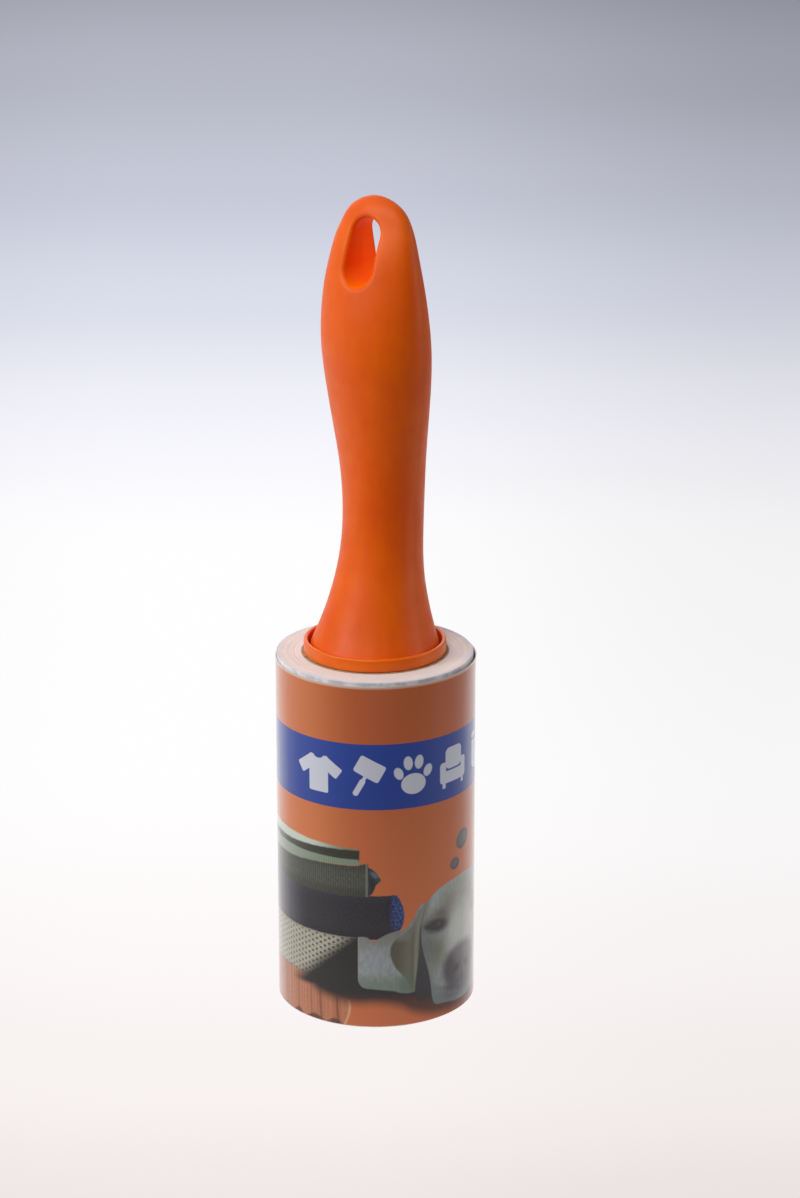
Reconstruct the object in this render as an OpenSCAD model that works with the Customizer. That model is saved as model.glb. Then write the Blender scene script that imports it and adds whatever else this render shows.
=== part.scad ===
// Lint roller with a refillable roll of adhesive sheets, standing on the end of its roll.
// Millimetres, +Z up along the spin axis, origin at the centre of the roll's bottom face.
// The hang slot runs along Y and the grip's flatter, wider face looks along -Y, the front.

/* [Overall] */
// Height of the whole roller, from the roll's bottom face to the tip of the grip
overall_h = 228.6; // [222:0.1:236]

/* [Refill roll] */
// Width of the adhesive sheets and of the cardboard core
sheet_w = 101.6; // [98:0.1:104]
// Inside diameter of the cardboard core
core_id = 38.1; // [37.9:0.05:38.6]
// Wall thickness of the cardboard core
core_wall = 1.3; // [0.8:0.1:1.8]
// Outside diameter of the wound sheets on a full roll
roll_d = 54.4; // [46:0.1:54.4]
// Thickness of one adhesive sheet
sheet_t = 0.12; // [0.08:0.01:0.2]

/* [Printed cover] */
// Height of the printed cover
cover_h = 100; // [90:0.5:101]
// Inside diameter of the printed cover
cover_id = 54.9; // [54.8:0.1:55.6]
// Thickness of the cover
cover_t = 0.25; // [0.15:0.05:0.4]
// Height of the cover's lower edge above the roll's bottom face
cover_z = 0.45; // [0.1:0.05:0.6]
// How far the loose cover stands off-centre
cover_shift = 0.12; // [0:0.02:0.14]
// Direction in which the cover stands off, in degrees from +X
cover_dir = 38; // [0:1:359]
// Angle covered by the glued overlap of the cover
seam_angle = 24; // [10:1:40]

/* [Grip] */
// Full width of the grip's belly, across X
belly_w = 32.8; // [30:0.1:35]
// Full depth of the grip's belly, along Y
belly_t = 24; // [22:0.1:26]
// Full width of the waist above the bell
waist_w = 22.8; // [21:0.1:25]
// Full depth of the waist above the bell
waist_t = 21.5; // [20:0.1:24]
// Diameter of the bell at the foot of the grip
bell_d = 35.2; // [33:0.1:36]
// How far the waist is bowed towards the back
bow = 3.85; // [2:0.05:4.2]
// Wall thickness of the two grip shells
grip_wall = 2.2; // [1.8:0.1:2.4]
// Gap left on each side of the parting surface
seam_gap = 0.02; // [0.01:0.01:0.1]

/* [Hang slot] */
// Width of the hang slot
slot_w = 9.4; // [7:0.1:10]
// Length of the hang slot
slot_l = 17.6; // [14:0.1:18.5]
// Distance from the tip of the grip down to the slot's centre
slot_drop = 14.2; // [13.5:0.1:15]
// Thickness of the tunnel wall round the slot
slot_wall = 2; // [1.5:0.1:2.2]

/* [Spindle] */
// Outside diameter of the sleeve's tube
sleeve_d = 37.5; // [37:0.1:37.7]
// Wall thickness of the sleeve's tube
sleeve_wall = 1.6; // [1.2:0.1:2]
// Outside diameter of the flange ring that stops the roll
flange_d = 39.3; // [39.2:0.1:41]
// Height of the flange ring
flange_h = 3.6; // [2.5:0.1:4]
// Thickness of the flange ring's lip
flange_lip = 1.1; // [0.9:0.1:1.2]
// Radial clearance of the ribs inside the core
rib_clear = 0.08; // [0.05:0.01:0.2]
// Number of grip ribs outside the tube
sleeve_ribs = 6; // [3, 6]

/* [Axle] */
// Diameter of the upper journal
upper_journal_d = 12; // [10:0.1:12.5]
// Diameter of the lower journal
lower_journal_d = 8; // [7:0.1:8.5]
// Radial running clearance in both hubs
run_clear = 0.06; // [0.03:0.01:0.1]
// Width of the slit in the barbed tip
tip_slit = 1.6; // [1:0.1:2]

/* [Hidden] */
$fn = 96;

orange = "#e0651f";

// Heights along the axis
flange_z = sheet_w + 0.1;           // underside of the flange ring, on top of the core
flange_top = flange_z + flange_h;   // rim of the flange ring
web_top = flange_z - 0.2;           // floor of the flange cup
web_z = web_top - 2;                // underside of that floor
hub_z = web_z - 8;                  // lower end of the upper hub
bell_z = flange_z + 1.3;            // foot of the bell, inside the flange cup
bulkhead_t = 2;                     // floor that closes the bell and holds the axle
floor_top = bell_z + bulkhead_t;
cap_z = 3;                          // lower face of the end cap, recessed in the core
tube_z = 4.2;                       // lower end of the sleeve's tube
slot_z = overall_h - slot_drop;
axial_gap = 0.1;                    // between the axle and each face that holds it

// Radii shared by several pieces
core_r = core_id / 2;
roll_r = roll_d / 2;
sleeve_r = sleeve_d / 2;
bore_r = sleeve_r - sleeve_wall;
top_r = upper_journal_d / 2;
low_r = lower_journal_d / 2;

key_side = 9;                       // square part of the axle, inside the grip

// ---- Grip form -------------------------------------------------------------------------
belly_x = belly_w / 2;
belly_y = belly_t / 2;
waist_x = waist_w / 2;
waist_y = waist_t / 2;
bell_r = bell_d / 2;

// Each row: depth below the tip, half width, half depth, offset of the centre towards the back
grip_rows = [
    [0,     0,               0,               1.40],
    [1.0,   0.287 * belly_x, 0.179 * belly_y, 1.40],
    [3.2,   0.506 * belly_x, 0.317 * belly_y, 1.40],
    [7.6,   0.689 * belly_x, 0.420 * belly_y, 1.22],
    [11.8,  0.787 * belly_x, 0.525 * belly_y, 0.66],
    [16.6,  0.853 * belly_x, 0.645 * belly_y, 0.28],
    [23.6,  0.939 * belly_x, 0.770 * belly_y, 0.06],
    [31.6,  0.988 * belly_x, 0.908 * belly_y, 0.24],
    [40.6,  1.000 * belly_x, 1.000 * belly_y, 0.75],
    [53.6,  0.930 * belly_x, 0.983 * belly_y, 1.85],
    [63.6,  0.841 * belly_x, 0.940 * belly_y, 2.65],
    [73.7,  0.750 * belly_x, 0.908 * belly_y, 0.905 * bow],
    [85.6,  1.000 * waist_x, 1.000 * waist_y, 1.000 * bow],
    [96.6,  1.004 * waist_x, 1.016 * waist_y, 0.850 * bow],
    [106.6, 0.710 * bell_r,  0.693 * bell_r,  0.545 * bow],
    [112.6, 0.782 * bell_r,  0.782 * bell_r,  0.375 * bow],
    [117.2, 0.858 * bell_r,  0.858 * bell_r,  0.235 * bow],
    [121.1, 0.934 * bell_r,  0.934 * bell_r,  0.100 * bow],
    [123.4, 0.985 * bell_r,  0.985 * bell_r,  0.020 * bow],
    [124.8, 1.014 * bell_r,  1.014 * bell_r,  0.000],
    [126.6, 1.026 * bell_r,  1.026 * bell_r,  0.000]];

// The tip is a dome, so the curve runs over the root of the depth, which keeps it smooth there
roots = [for (row = grip_rows) sqrt(row[0])];
shapes = [for (row = grip_rows) [row[1], row[2], row[3]]];
last = len(roots) - 1;
tip_root = 0.12;                    // root at which the solid starts, just off the point

function step(i) = roots[i + 1] - roots[i];
function span_slope(i) = (shapes[i + 1] - shapes[i]) / step(i);
// Slope at row i, from the two spans that meet there
function row_slope(i) =
    i == 0 ? span_slope(0) :
    i == last ? span_slope(last - 1) :
    (span_slope(i - 1) * step(i) + span_slope(i) * step(i - 1)) / (step(i - 1) + step(i));
function span_at(root, i = 0) =
    (i >= last - 1 || root <= roots[i + 1]) ? i : span_at(root, i + 1);

// Cubic Hermite curve through the rows: [half width, half depth, offset]
function shape_at(root) =
    let (i = span_at(root), t = (root - roots[i]) / step(i), t2 = t * t, t3 = t2 * t)
    (2 * t3 - 3 * t2 + 1) * shapes[i] +
    (t3 - 2 * t2 + t) * step(i) * row_slope(i) +
    (3 * t2 - 2 * t3) * shapes[i + 1] +
    (t3 - t2) * step(i) * row_slope(i + 1);

function z_of(root) = overall_h + tip_root * tip_root - root * root;
function root_of(z) = sqrt(overall_h + tip_root * tip_root - z);
function mid_y(z) = shape_at(root_of(z))[2];

// Solid between two roots, round from start over sweep degrees, drawn in by inset.
// A full sweep makes closed ellipses; a half has a flat strip on the parting surface.
module grip_loft(root_top, root_low, stations, arcs, start = 0, sweep = 360,
                 inset = 0, y_shift = 0) {
    closed = sweep == 360;
    count = closed ? arcs : arcs + 1;   // points in each section
    points = [for (i = [0 : stations])
        let (root = root_top + (root_low - root_top) * i / stations, shape = shape_at(root))
        for (j = [0 : count - 1])
            let (angle = start + sweep * j / arcs)
            [(shape[0] - inset) * cos(angle),
             shape[2] + y_shift + (shape[1] - inset) * sin(angle),
             z_of(root)]];
    side = [for (i = [0 : stations - 1]) for (j = [0 : arcs - 1])
        let (here = i * count + j, next = i * count + (j + 1) % count,
             below = here + count, next_below = next + count)
        each [[next, below, here], [next_below, below, next]]];
    parting = closed ? [] : [for (i = [0 : stations - 1])
        let (first = i * count, end = first + count - 1)
        [first + count, end + count, end, first]];
    top = [[for (j = [count - 1 : -1 : 0]) j]];
    bottom = [[for (j = [0 : count - 1]) stations * count + j]];
    polyhedron(points = points, faces = concat(side, parting, top, bottom), convexity = 4);
}

// ---- Grip shells -----------------------------------------------------------------------
hollow_drop = 6.5;                  // from the tip down to the top of the hollow
key_ribs = [bell_z + 11, bell_z + 17];
key_rib_t = 2;
key_clear = 0.05;
stiff_ribs = [153, 180];
stiff_rib_t = 1.5;
stiff_hole_r = 6;

// Pairs of locating pins: height, distance from the plane X = 0
pin_rows = [[139, 5.0], [168, 8.0], [192, 9.4]];
pin_r = 1.5;
pin_l = 5;
pin_reach = 2.8;                    // from the parting surface into the back shell
pin_hole_r = pin_r + 0.05;
pin_hole_l = 6;
pin_hole_reach = 3.2;
boss_r = 2.5;

// A straight-sided slot with round ends, cut along Y
module slot_bar(width, length) {
    cut = 80;
    straight = length - width;
    for (side = [-1, 1])
        translate([0, 0, slot_z + side * straight / 2])
            rotate([90, 0, 0])
                cylinder(d = width, h = cut, center = true);
    translate([-width / 2, -cut / 2, slot_z - straight / 2]) cube([width, cut, straight]);
}

// A level slab wider than the grip
module slab(z, thick) {
    translate([-30, -30, z]) cube([60, 60, thick]);
}

module at_pins() {
    for (row = pin_rows) for (side = [-1, 1])
        translate([side * row[1], mid_y(row[0]), row[0]]) children();
}

// Hollow of the grip: the inner form less the slot tunnel, the ribs and the pin bosses
module grip_hollow() {
    difference() {
        grip_loft(root_of(overall_h - hollow_drop), root_of(floor_top),
            stations = 34, arcs = 36, inset = grip_wall);
        slot_bar(slot_w + 2 * slot_wall, slot_l + 2 * slot_wall);
        // Ribs that hold the square part of the axle, notched in grip_half
        for (z = key_ribs) slab(z, key_rib_t);
        // Open stiffening ribs
        for (z = stiff_ribs) difference() {
            slab(z, stiff_rib_t);
            translate([0, mid_y(z), z - 1]) cylinder(r = stiff_hole_r, h = 4);
        }
        at_pins() rotate([90, 0, 0]) cylinder(r = boss_r, h = 60, center = true, $fn = 32);
    }
}

module grip_half(start, y_shift) {
    notch = key_side + 2 * key_clear;
    difference() {
        grip_loft(tip_root, root_of(bell_z), stations = 46, arcs = 22,
            start = start, sweep = 180, y_shift = y_shift);
        grip_hollow();
        slot_bar(slot_w, slot_l);
        // Round hole in the bell's floor for the axle's neck
        translate([0, 0, bell_z - 1]) cylinder(r = top_r + 0.1, h = bulkhead_t + 2);
        // Square notches for the key
        translate([-notch / 2, -notch / 2, bell_z + 10]) cube([notch, notch, 10]);
    }
}

module grip_shell_front() {
    color(orange) union() {
        grip_half(180, -seam_gap);
        at_pins() translate([0, pin_reach, 0]) rotate([90, 0, 0])
            cylinder(r = pin_r, h = pin_l, $fn = 32);
    }
}

module grip_shell_back() {
    color(orange) difference() {
        grip_half(0, seam_gap);
        at_pins() translate([0, pin_hole_reach, 0]) rotate([90, 0, 0])
            cylinder(r = pin_hole_r, h = pin_hole_l, $fn = 32);
    }
}

// ---- Axle ------------------------------------------------------------------------------
barb_r = low_r + 0.7;
slit_top = 12;
vane_z = 15;                        // foot of the crossed vanes and of the lowest disc
vane_t = 2.4;
vane_inset = 0.6;
disc_pitch = 19;
disc_t = 2;
shoulder_r = top_r + 2;             // under the bell's floor
collar_r = top_r + 3.5;             // disc above the bell's floor

// Axially it is held by the bell's floor, between the shoulder below and the disc above.
module axle_stem() {
    color(orange) union() {
        // Lower journal with its slit, barbed tip
        difference() {
            rotate_extrude() polygon([
                [0, 0.6], [low_r - 0.7, 0.6], [barb_r, 1.8], [barb_r, 2.7],
                [low_r + 0.5, cap_z - axial_gap], [low_r, cap_z - axial_gap],
                [low_r, vane_z + 1], [0, vane_z + 1]]);
            translate([-tip_slit / 2, -10, -1]) cube([tip_slit, 20, slit_top + 1]);
        }
        // Crossed vanes and the discs along them
        for (angle = [0, 90]) rotate([0, 0, angle])
            translate([-top_r + vane_inset, -vane_t / 2, vane_z])
                cube([upper_journal_d - 2 * vane_inset, vane_t, hub_z - vane_z]);
        for (i = [0 : 3]) translate([0, 0, vane_z + i * disc_pitch])
            cylinder(r = top_r - 0.4, h = disc_t);
        // Upper journal, shoulder, neck and collar
        rotate_extrude() polygon([
            [0, hub_z - 1], [top_r - 0.5, hub_z - 1], [top_r, hub_z - 0.5],
            [top_r, web_top + axial_gap], [shoulder_r, web_top + axial_gap],
            [shoulder_r, bell_z - axial_gap], [top_r, bell_z - axial_gap],
            [top_r, floor_top + axial_gap], [collar_r, floor_top + axial_gap],
            [collar_r, floor_top + 1.7], [collar_r - 0.5, floor_top + 2.1],
            [0, floor_top + 2.1]]);
        // Square key
        translate([-key_side / 2, -key_side / 2, floor_top + 2]) cube([key_side, key_side, 16]);
    }
}

// ---- Spindle ---------------------------------------------------------------------------
flange_r = flange_d / 2;
lip_r = flange_r - flange_lip;      // inside of the flange ring's lip
hub_bore_r = top_r + run_clear;
hub_r = top_r + 2.2;
gusset_t = 1.2;
root_r = sleeve_r - 0.4;            // where ribs and bumps are sunk into the tube
rib_r = core_r - rib_clear;
rib_angle = 4;
finger_angles = [45, 165, 285];
finger_w = 7;
finger_z = 18;
finger_top = 42;
finger_slit = 1;
bump_r = core_r - 0.05;
bump_angle = 16;

module sleeve_body() {
    rotate_extrude() polygon([
        [hub_bore_r, hub_z], [hub_r, hub_z], [hub_r, web_z],
        [bore_r, web_z], [bore_r, tube_z], [root_r, tube_z], [sleeve_r, tube_z + 0.8],
        [sleeve_r, flange_z], [flange_r - 0.3, flange_z], [flange_r, flange_z + 0.3],
        [flange_r, flange_top - 0.35], [flange_r - 0.12, flange_top - 0.12],
        [flange_r - 0.35, flange_top], [lip_r + 0.3, flange_top],
        [lip_r, flange_top - 0.3], [lip_r, web_top], [hub_bore_r, web_top]]);
}

// Slits along both sides and across the lower end of one finger
module finger_slits() {
    for (side = [-1, 1])
        translate([bore_r - 2, side * (finger_w + finger_slit) / 2 - finger_slit / 2, finger_z])
            cube([6, finger_slit, finger_top - finger_z]);
    translate([bore_r - 2, -finger_w / 2 - finger_slit, finger_z])
        cube([6, finger_w + 2 * finger_slit, finger_slit]);
}

module spindle_sleeve() {
    color(orange) difference() {
        union() {
            sleeve_body();
            // Gussets between the hub and the tube
            for (angle = [15 : 60 : 315]) rotate([0, 0, angle])
                translate([top_r + 1.5, -gusset_t / 2, hub_z + 1.5])
                    cube([bore_r - top_r - 1.2, gusset_t, web_z - hub_z - 1]);
            // Grip ribs outside the tube
            for (i = [0 : sleeve_ribs - 1]) rotate([0, 0, i * 360 / sleeve_ribs + 13])
                rotate_extrude(angle = rib_angle)
                    polygon([[root_r, 8], [rib_r, 12], [rib_r, 92], [root_r, 96]]);
            // Snap bumps on the spring fingers
            for (angle = finger_angles) rotate([0, 0, angle - bump_angle / 2])
                rotate_extrude(angle = bump_angle) polygon([
                    [root_r, finger_z + 1.6], [bump_r, finger_z + 3.6],
                    [bump_r, finger_z + 5], [root_r, finger_z + 8]]);
        }
        for (angle = finger_angles) rotate([0, 0, angle]) finger_slits();
    }
}

cap_r = sleeve_r - 0.15;
cap_bore_r = low_r + run_clear;
cap_hub_r = low_r + 2.4;
cap_hub_top = cap_z + 8;
cap_floor_top = cap_z + 1.6;
spigot_r = bore_r - 0.05;           // part of the cap that enters the tube
spigot_inner_r = bore_r - 1.4;
spigot_top = 10;
cap_hole_r = 2.7;
cap_hole_circle_r = 11;

module spindle_end_cap() {
    color(orange) difference() {
        rotate_extrude() polygon([
            [cap_bore_r, cap_z], [sleeve_r - 0.6, cap_z], [cap_r, cap_z + 0.4],
            [cap_r, tube_z - 0.05], [spigot_r, tube_z - 0.05],
            [spigot_r, spigot_top - 0.6], [bore_r - 0.4, spigot_top],
            [spigot_inner_r, spigot_top], [spigot_inner_r, cap_floor_top],
            [cap_hub_r, cap_floor_top], [cap_hub_r, cap_hub_top], [cap_bore_r, cap_hub_top]]);
        for (angle = [0 : 60 : 300]) rotate([0, 0, angle])
            translate([cap_hole_circle_r, 0, cap_z - 1]) cylinder(r = cap_hole_r, h = 4);
    }
}

// ---- Refill roll and printed cover -----------------------------------------------------
layer_gap = 0.02;                   // on both faces of the wound sheets
lead_start = 150;
lead_sweep = 354;
seam_start = 116;

// Upright section of a wall, to be turned about Z
module wall_section(inner_r, thick, height) {
    translate([inner_r, 0]) square([thick, height]);
}

module paper_core() {
    color("#b79a74") rotate_extrude() wall_section(core_r, core_wall, sheet_w);
}

module adhesive_sheets() {
    inner_r = core_r + core_wall + layer_gap;
    outer_r = roll_r - sheet_t - layer_gap;
    color("#f1ece4") rotate_extrude() wall_section(inner_r, outer_r - inner_r, sheet_w);
}

// The first sheet: one turn, whose free end stops short of where the turn begins
module lead_sheet() {
    color("#e9e6e4") rotate([0, 0, lead_start]) rotate_extrude(angle = lead_sweep)
        wall_section(roll_r - sheet_t, sheet_t, sheet_w);
}

// A full ring with the glued overlap standing half a thickness proud
module cover_wrap() {
    cover_r = cover_id / 2;
    color("#b9643c")
        translate([cover_shift * cos(cover_dir), cover_shift * sin(cover_dir), cover_z]) union() {
            rotate_extrude() wall_section(cover_r, cover_t, cover_h);
            rotate([0, 0, seam_start]) rotate_extrude(angle = seam_angle)
                wall_section(cover_r + cover_t / 2, cover_t, cover_h);
        }
}

grip_shell_front();
grip_shell_back();
axle_stem();
spindle_sleeve();
spindle_end_cap();
paper_core();
adhesive_sheets();
lead_sheet();
cover_wrap();
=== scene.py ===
# A lint roller standing upright on the Z axis: the roll of sticky sheets with its printed cover
# runs from z = 0 to 101.6 mm, and the grip rises above it to 228.6 mm with its back towards +Y.
# Shapes are worked out in millimetres; the stage, lights and camera are in metres.
import bpy
import math
import mathutils
import numpy as np
from itertools import product
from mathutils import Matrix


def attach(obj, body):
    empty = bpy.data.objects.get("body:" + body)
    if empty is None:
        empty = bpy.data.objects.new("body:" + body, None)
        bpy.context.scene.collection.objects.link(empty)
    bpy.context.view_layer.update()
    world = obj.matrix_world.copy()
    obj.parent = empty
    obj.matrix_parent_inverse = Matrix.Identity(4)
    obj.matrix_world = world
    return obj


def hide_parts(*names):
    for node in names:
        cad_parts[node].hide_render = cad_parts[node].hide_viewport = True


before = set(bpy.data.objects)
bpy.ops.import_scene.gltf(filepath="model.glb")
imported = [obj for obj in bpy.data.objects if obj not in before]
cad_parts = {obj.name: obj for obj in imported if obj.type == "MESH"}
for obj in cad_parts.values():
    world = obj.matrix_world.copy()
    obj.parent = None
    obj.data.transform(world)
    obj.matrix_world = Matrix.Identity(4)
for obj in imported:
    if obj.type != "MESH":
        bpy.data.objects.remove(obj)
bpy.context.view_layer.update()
MM = 0.001
DEG = math.pi / 180
SEGMENTS = 224        # round the sleeve, the cap and the roll

# Heights that the pieces share
TOP = 228.6                             # top of the grip
FOOT = 103.0                            # foot of the grip
FLANGE_Z = 101.7                        # underside of the sleeve's flange ring
WEB_TOP = FLANGE_Z - 0.2
WEB_BOTTOM = WEB_TOP - 2
HUB_Z = WEB_BOTTOM - 8                  # lower end of the sleeve's hub
ROLL_HEIGHT = 101.6

CAMERA_BEARING = 38.0                   # degrees about Z from -Y
CAMERA_BACK = 0.922                     # metres from the axis
AWAY = (-math.sin(CAMERA_BEARING * DEG), math.cos(CAMERA_BEARING * DEG))   # from the camera


# ---- Mesh tools ------------------------------------------------------------------------

def shade_smooth(ob, sharp_deg):
    mesh = ob.data
    mesh.polygons.foreach_set("use_smooth", [True] * len(mesh.polygons))
    mesh.set_sharp_from_angle(angle=math.radians(sharp_deg))
    return ob


def new_mesh(name, verts, faces, sharp_deg=None, uv=None):
    """An object from verts in mm. Flat shaded without sharp_deg; uv is one pair per vertex."""
    mesh = bpy.data.meshes.new(name)
    if isinstance(faces, np.ndarray):
        faces = faces.tolist()
    mesh.from_pydata((np.asarray(verts, float) * MM).tolist(), [], faces)
    mesh.validate()
    mesh.update()
    ob = bpy.data.objects.new(name, mesh)
    if sharp_deg is not None:
        shade_smooth(ob, sharp_deg)
    if uv is not None:
        layer = mesh.uv_layers.new(name="sheet")
        index = np.zeros(len(mesh.loops), np.int32)
        mesh.loops.foreach_get("vertex_index", index)
        layer.data.foreach_set("uv", np.asarray(uv, np.float32)[index].ravel())
    bpy.context.scene.collection.objects.link(ob)
    return ob


def rounded(corners, steps):
    """A closed 2D outline from corners (x, y, radius), each arc cut into steps."""
    points = [np.array(c[:2], float) for c in corners]
    out = []
    for i, (corner, row) in enumerate(zip(points, corners)):
        radius = row[2]
        back = points[i - 1] - corner
        ahead = points[(i + 1) % len(points)] - corner
        back_len, ahead_len = np.linalg.norm(back), np.linalg.norm(ahead)
        back, ahead = back / back_len, ahead / ahead_len
        angle = math.acos(max(-1, min(1, float(back @ ahead))))
        if radius <= 0 or angle > math.pi - 0.02:
            out.append(corner)
            continue
        reach = min(radius / math.tan(angle / 2), 0.48 * back_len, 0.48 * ahead_len)
        radius = reach * math.tan(angle / 2)
        middle = (back + ahead) / np.linalg.norm(back + ahead)
        centre = corner + middle * (radius / math.sin(angle / 2))
        start = corner + back * reach - centre
        end = corner + ahead * reach - centre
        first = math.atan2(start[1], start[0])
        last = math.atan2(end[1], end[0])
        sweep = (last - first + math.pi) % (2 * math.pi) - math.pi
        for j in range(steps + 1):
            turn = first + sweep * j / steps
            out.append(centre + radius * np.array([math.cos(turn), math.sin(turn)]))
    return out


def split_long(points, longest):
    """Adds points along the long sides of a closed outline."""
    out = []
    for i in range(len(points)):
        a, b = np.array(points[i]), np.array(points[(i + 1) % len(points)])
        parts = max(1, int(math.ceil(np.linalg.norm(b - a) / longest)))
        out += [a + (b - a) * j / parts for j in range(parts)]
    return out


def circle(radius, count, cx=0.0, cy=0.0):
    return [(cx + radius * math.cos(2 * math.pi * i / count),
             cy + radius * math.sin(2 * math.pi * i / count)) for i in range(count)]


def rectangle(x0, y0, x1, y1, radius=0.0):
    return rounded([(x, y, radius) for x, y in ((x0, y0), (x1, y0), (x1, y1), (x0, y1))],
                   steps=3)


def anticlockwise(outline):
    o = np.array(outline, float)
    area = 0.5 * np.sum(o[:, 0] * np.roll(o[:, 1], -1) - np.roll(o[:, 0], -1) * o[:, 1])
    return o[::-1] if area < 0 else o


def revolved(outline, angles):
    """One copy of an (r, z) outline at each angle."""
    return np.stack([np.outer(np.cos(angles), outline[:, 0]),
                     np.outer(np.sin(angles), outline[:, 0]),
                     np.tile(outline[:, 1], (len(angles), 1))], -1).reshape(-1, 3)


def swept_quads(copies, count, closed):
    """Quads between successive copies of a closed outline of count points."""
    i, j = np.meshgrid(np.arange(copies if closed else copies - 1), np.arange(count),
                       indexing="ij")
    i2, j2 = (i + 1) % copies, (j + 1) % count
    return np.stack([i * count + j, i2 * count + j, i2 * count + j2, i * count + j2],
                    -1).reshape(-1, 4)


def full_turn(segments):
    return np.linspace(0, 2 * math.pi, segments, endpoint=False)


def lathe(name, outline):
    """Revolves a closed outline of (r, z) points about Z."""
    o = anticlockwise(outline)
    return new_mesh(name, revolved(o, full_turn(SEGMENTS)),
                    swept_quads(SEGMENTS, len(o), closed=True), sharp_deg=38)


def lathe_solid(name, outline, segments):
    """Revolves an outline of (r, z) points that starts and ends on the axis."""
    o = np.array(outline, float)
    n = len(o) - 2
    verts = np.vstack([revolved(o[1:-1], full_turn(segments)),
                       [[0, 0, o[0, 1]], [0, 0, o[-1, 1]]]])
    low, high = segments * n, segments * n + 1
    faces = []
    for i in range(segments):
        k = (i + 1) % segments
        faces += [[i * n + j, k * n + j, k * n + j + 1, i * n + j + 1] for j in range(n - 1)]
        faces.append([low, k * n, i * n])
        faces.append([high, i * n + n - 1, k * n + n - 1])
    return new_mesh(name, verts, faces, sharp_deg=38)


def arc_piece(outline, start, end, steps):
    """Part of a ring: an (r, z) outline swept from start to end, closed at both ends."""
    o = anticlockwise(outline)
    n = len(o)
    faces = swept_quads(steps + 1, n, closed=False).tolist()
    faces += [list(range(n)), [steps * n + j for j in range(n - 1, -1, -1)]]
    return new_mesh("arc", revolved(o, np.linspace(start, end, steps + 1)), faces)


def prism(outline, z0, z1, upright=False, turn=0.0):
    """A prism along Z on an XY outline, or upright: on an XZ outline, from y = -z0 to -z1.
    It is then turned about Z."""
    o = anticlockwise(outline)
    n = len(o)
    v = np.vstack([np.c_[o, np.full(n, z0)], np.c_[o, np.full(n, z1)]])
    if upright:
        v = np.c_[v[:, 0], -v[:, 2], v[:, 1]]
    c, s = math.cos(turn), math.sin(turn)
    v = np.c_[v[:, 0] * c - v[:, 1] * s, v[:, 0] * s + v[:, 1] * c, v[:, 2]]
    faces = [[i, (i + 1) % n, n + (i + 1) % n, n + i] for i in range(n)]
    faces += [list(range(n - 1, -1, -1)), list(range(n, 2 * n))]
    return new_mesh("prism", v, faces)


def joined(name, parts, sharp_deg):
    """One mesh out of several objects, which are then removed."""
    verts, faces, count = [], [], 0
    for part in parts:
        co = np.zeros(len(part.data.vertices) * 3, np.float64)
        part.data.vertices.foreach_get("co", co)
        verts.append(co.reshape(-1, 3) / MM)
        faces += [[i + count for i in p.vertices] for p in part.data.polygons]
        count += len(part.data.vertices)
    for part in parts:
        bpy.data.objects.remove(part)
    return new_mesh(name, np.vstack(verts), faces, sharp_deg=sharp_deg)


def boolean(ob, cutters, operation):
    """Joins each cutter to ob or cuts it out, applied; the cutters are removed."""
    for cutter in cutters:
        modifier = ob.modifiers.new("b", "BOOLEAN")
        modifier.operation = operation
        modifier.object = cutter
        # guards against a Blender build that lacks the manifold solver
        try:
            modifier.solver = "MANIFOLD"
        except TypeError:
            modifier.solver = "EXACT"
    bpy.context.view_layer.update()
    graph = bpy.context.evaluated_depsgraph_get()
    mesh = bpy.data.meshes.new_from_object(ob.evaluated_get(graph), depsgraph=graph)
    ob.modifiers.clear()
    old = ob.data
    ob.data = mesh
    bpy.data.meshes.remove(old)
    for cutter in cutters:
        bpy.data.objects.remove(cutter)


# ---- Grip: a distance field, meshed on a fine grid and drawn onto the exact surface ------

WIDE, DEEP = 16.4, 12.0                 # half sizes at the widest part
NECK_WIDE, NECK_DEEP = 11.4, 10.75      # half sizes at the neck
BELL = 17.6                             # radius that the bell's stations are scaled from
LEAN = 3.85                             # offset of the neck's centre towards +Y

# depth below the top, half width, half depth, centre offset
STATIONS = np.array([
    [0.0, 0.0, 0.0, 1.40],
    [1.0, 0.287 * WIDE, 0.179 * DEEP, 1.40],
    [3.2, 0.506 * WIDE, 0.317 * DEEP, 1.40],
    [7.6, 0.689 * WIDE, 0.420 * DEEP, 1.22],
    [11.8, 0.787 * WIDE, 0.525 * DEEP, 0.66],
    [16.6, 0.853 * WIDE, 0.645 * DEEP, 0.28],
    [23.6, 0.939 * WIDE, 0.770 * DEEP, 0.06],
    [31.6, 0.988 * WIDE, 0.908 * DEEP, 0.24],
    [40.6, WIDE, DEEP, 0.75],
    [53.6, 0.930 * WIDE, 0.983 * DEEP, 1.85],
    [63.6, 0.841 * WIDE, 0.940 * DEEP, 2.65],
    [73.7, 0.750 * WIDE, 0.908 * DEEP, 0.905 * LEAN],
    [85.6, NECK_WIDE, NECK_DEEP, LEAN],
    [96.6, 1.004 * NECK_WIDE, 1.016 * NECK_DEEP, 0.850 * LEAN],
    [106.6, 0.710 * BELL, 0.693 * BELL, 0.545 * LEAN],
    [112.6, 0.782 * BELL, 0.782 * BELL, 0.375 * LEAN],
    [117.2, 0.858 * BELL, 0.858 * BELL, 0.235 * LEAN],
    [121.1, 0.934 * BELL, 0.934 * BELL, 0.100 * LEAN],
    [123.4, 0.985 * BELL, 0.985 * BELL, 0.020 * LEAN],
    [124.8, 1.014 * BELL, 1.014 * BELL, 0.0],
    [126.6, 1.026 * BELL, 1.026 * BELL, 0.0],
    [131.0, 1.030 * BELL, 1.030 * BELL, 0.0]])


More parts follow.
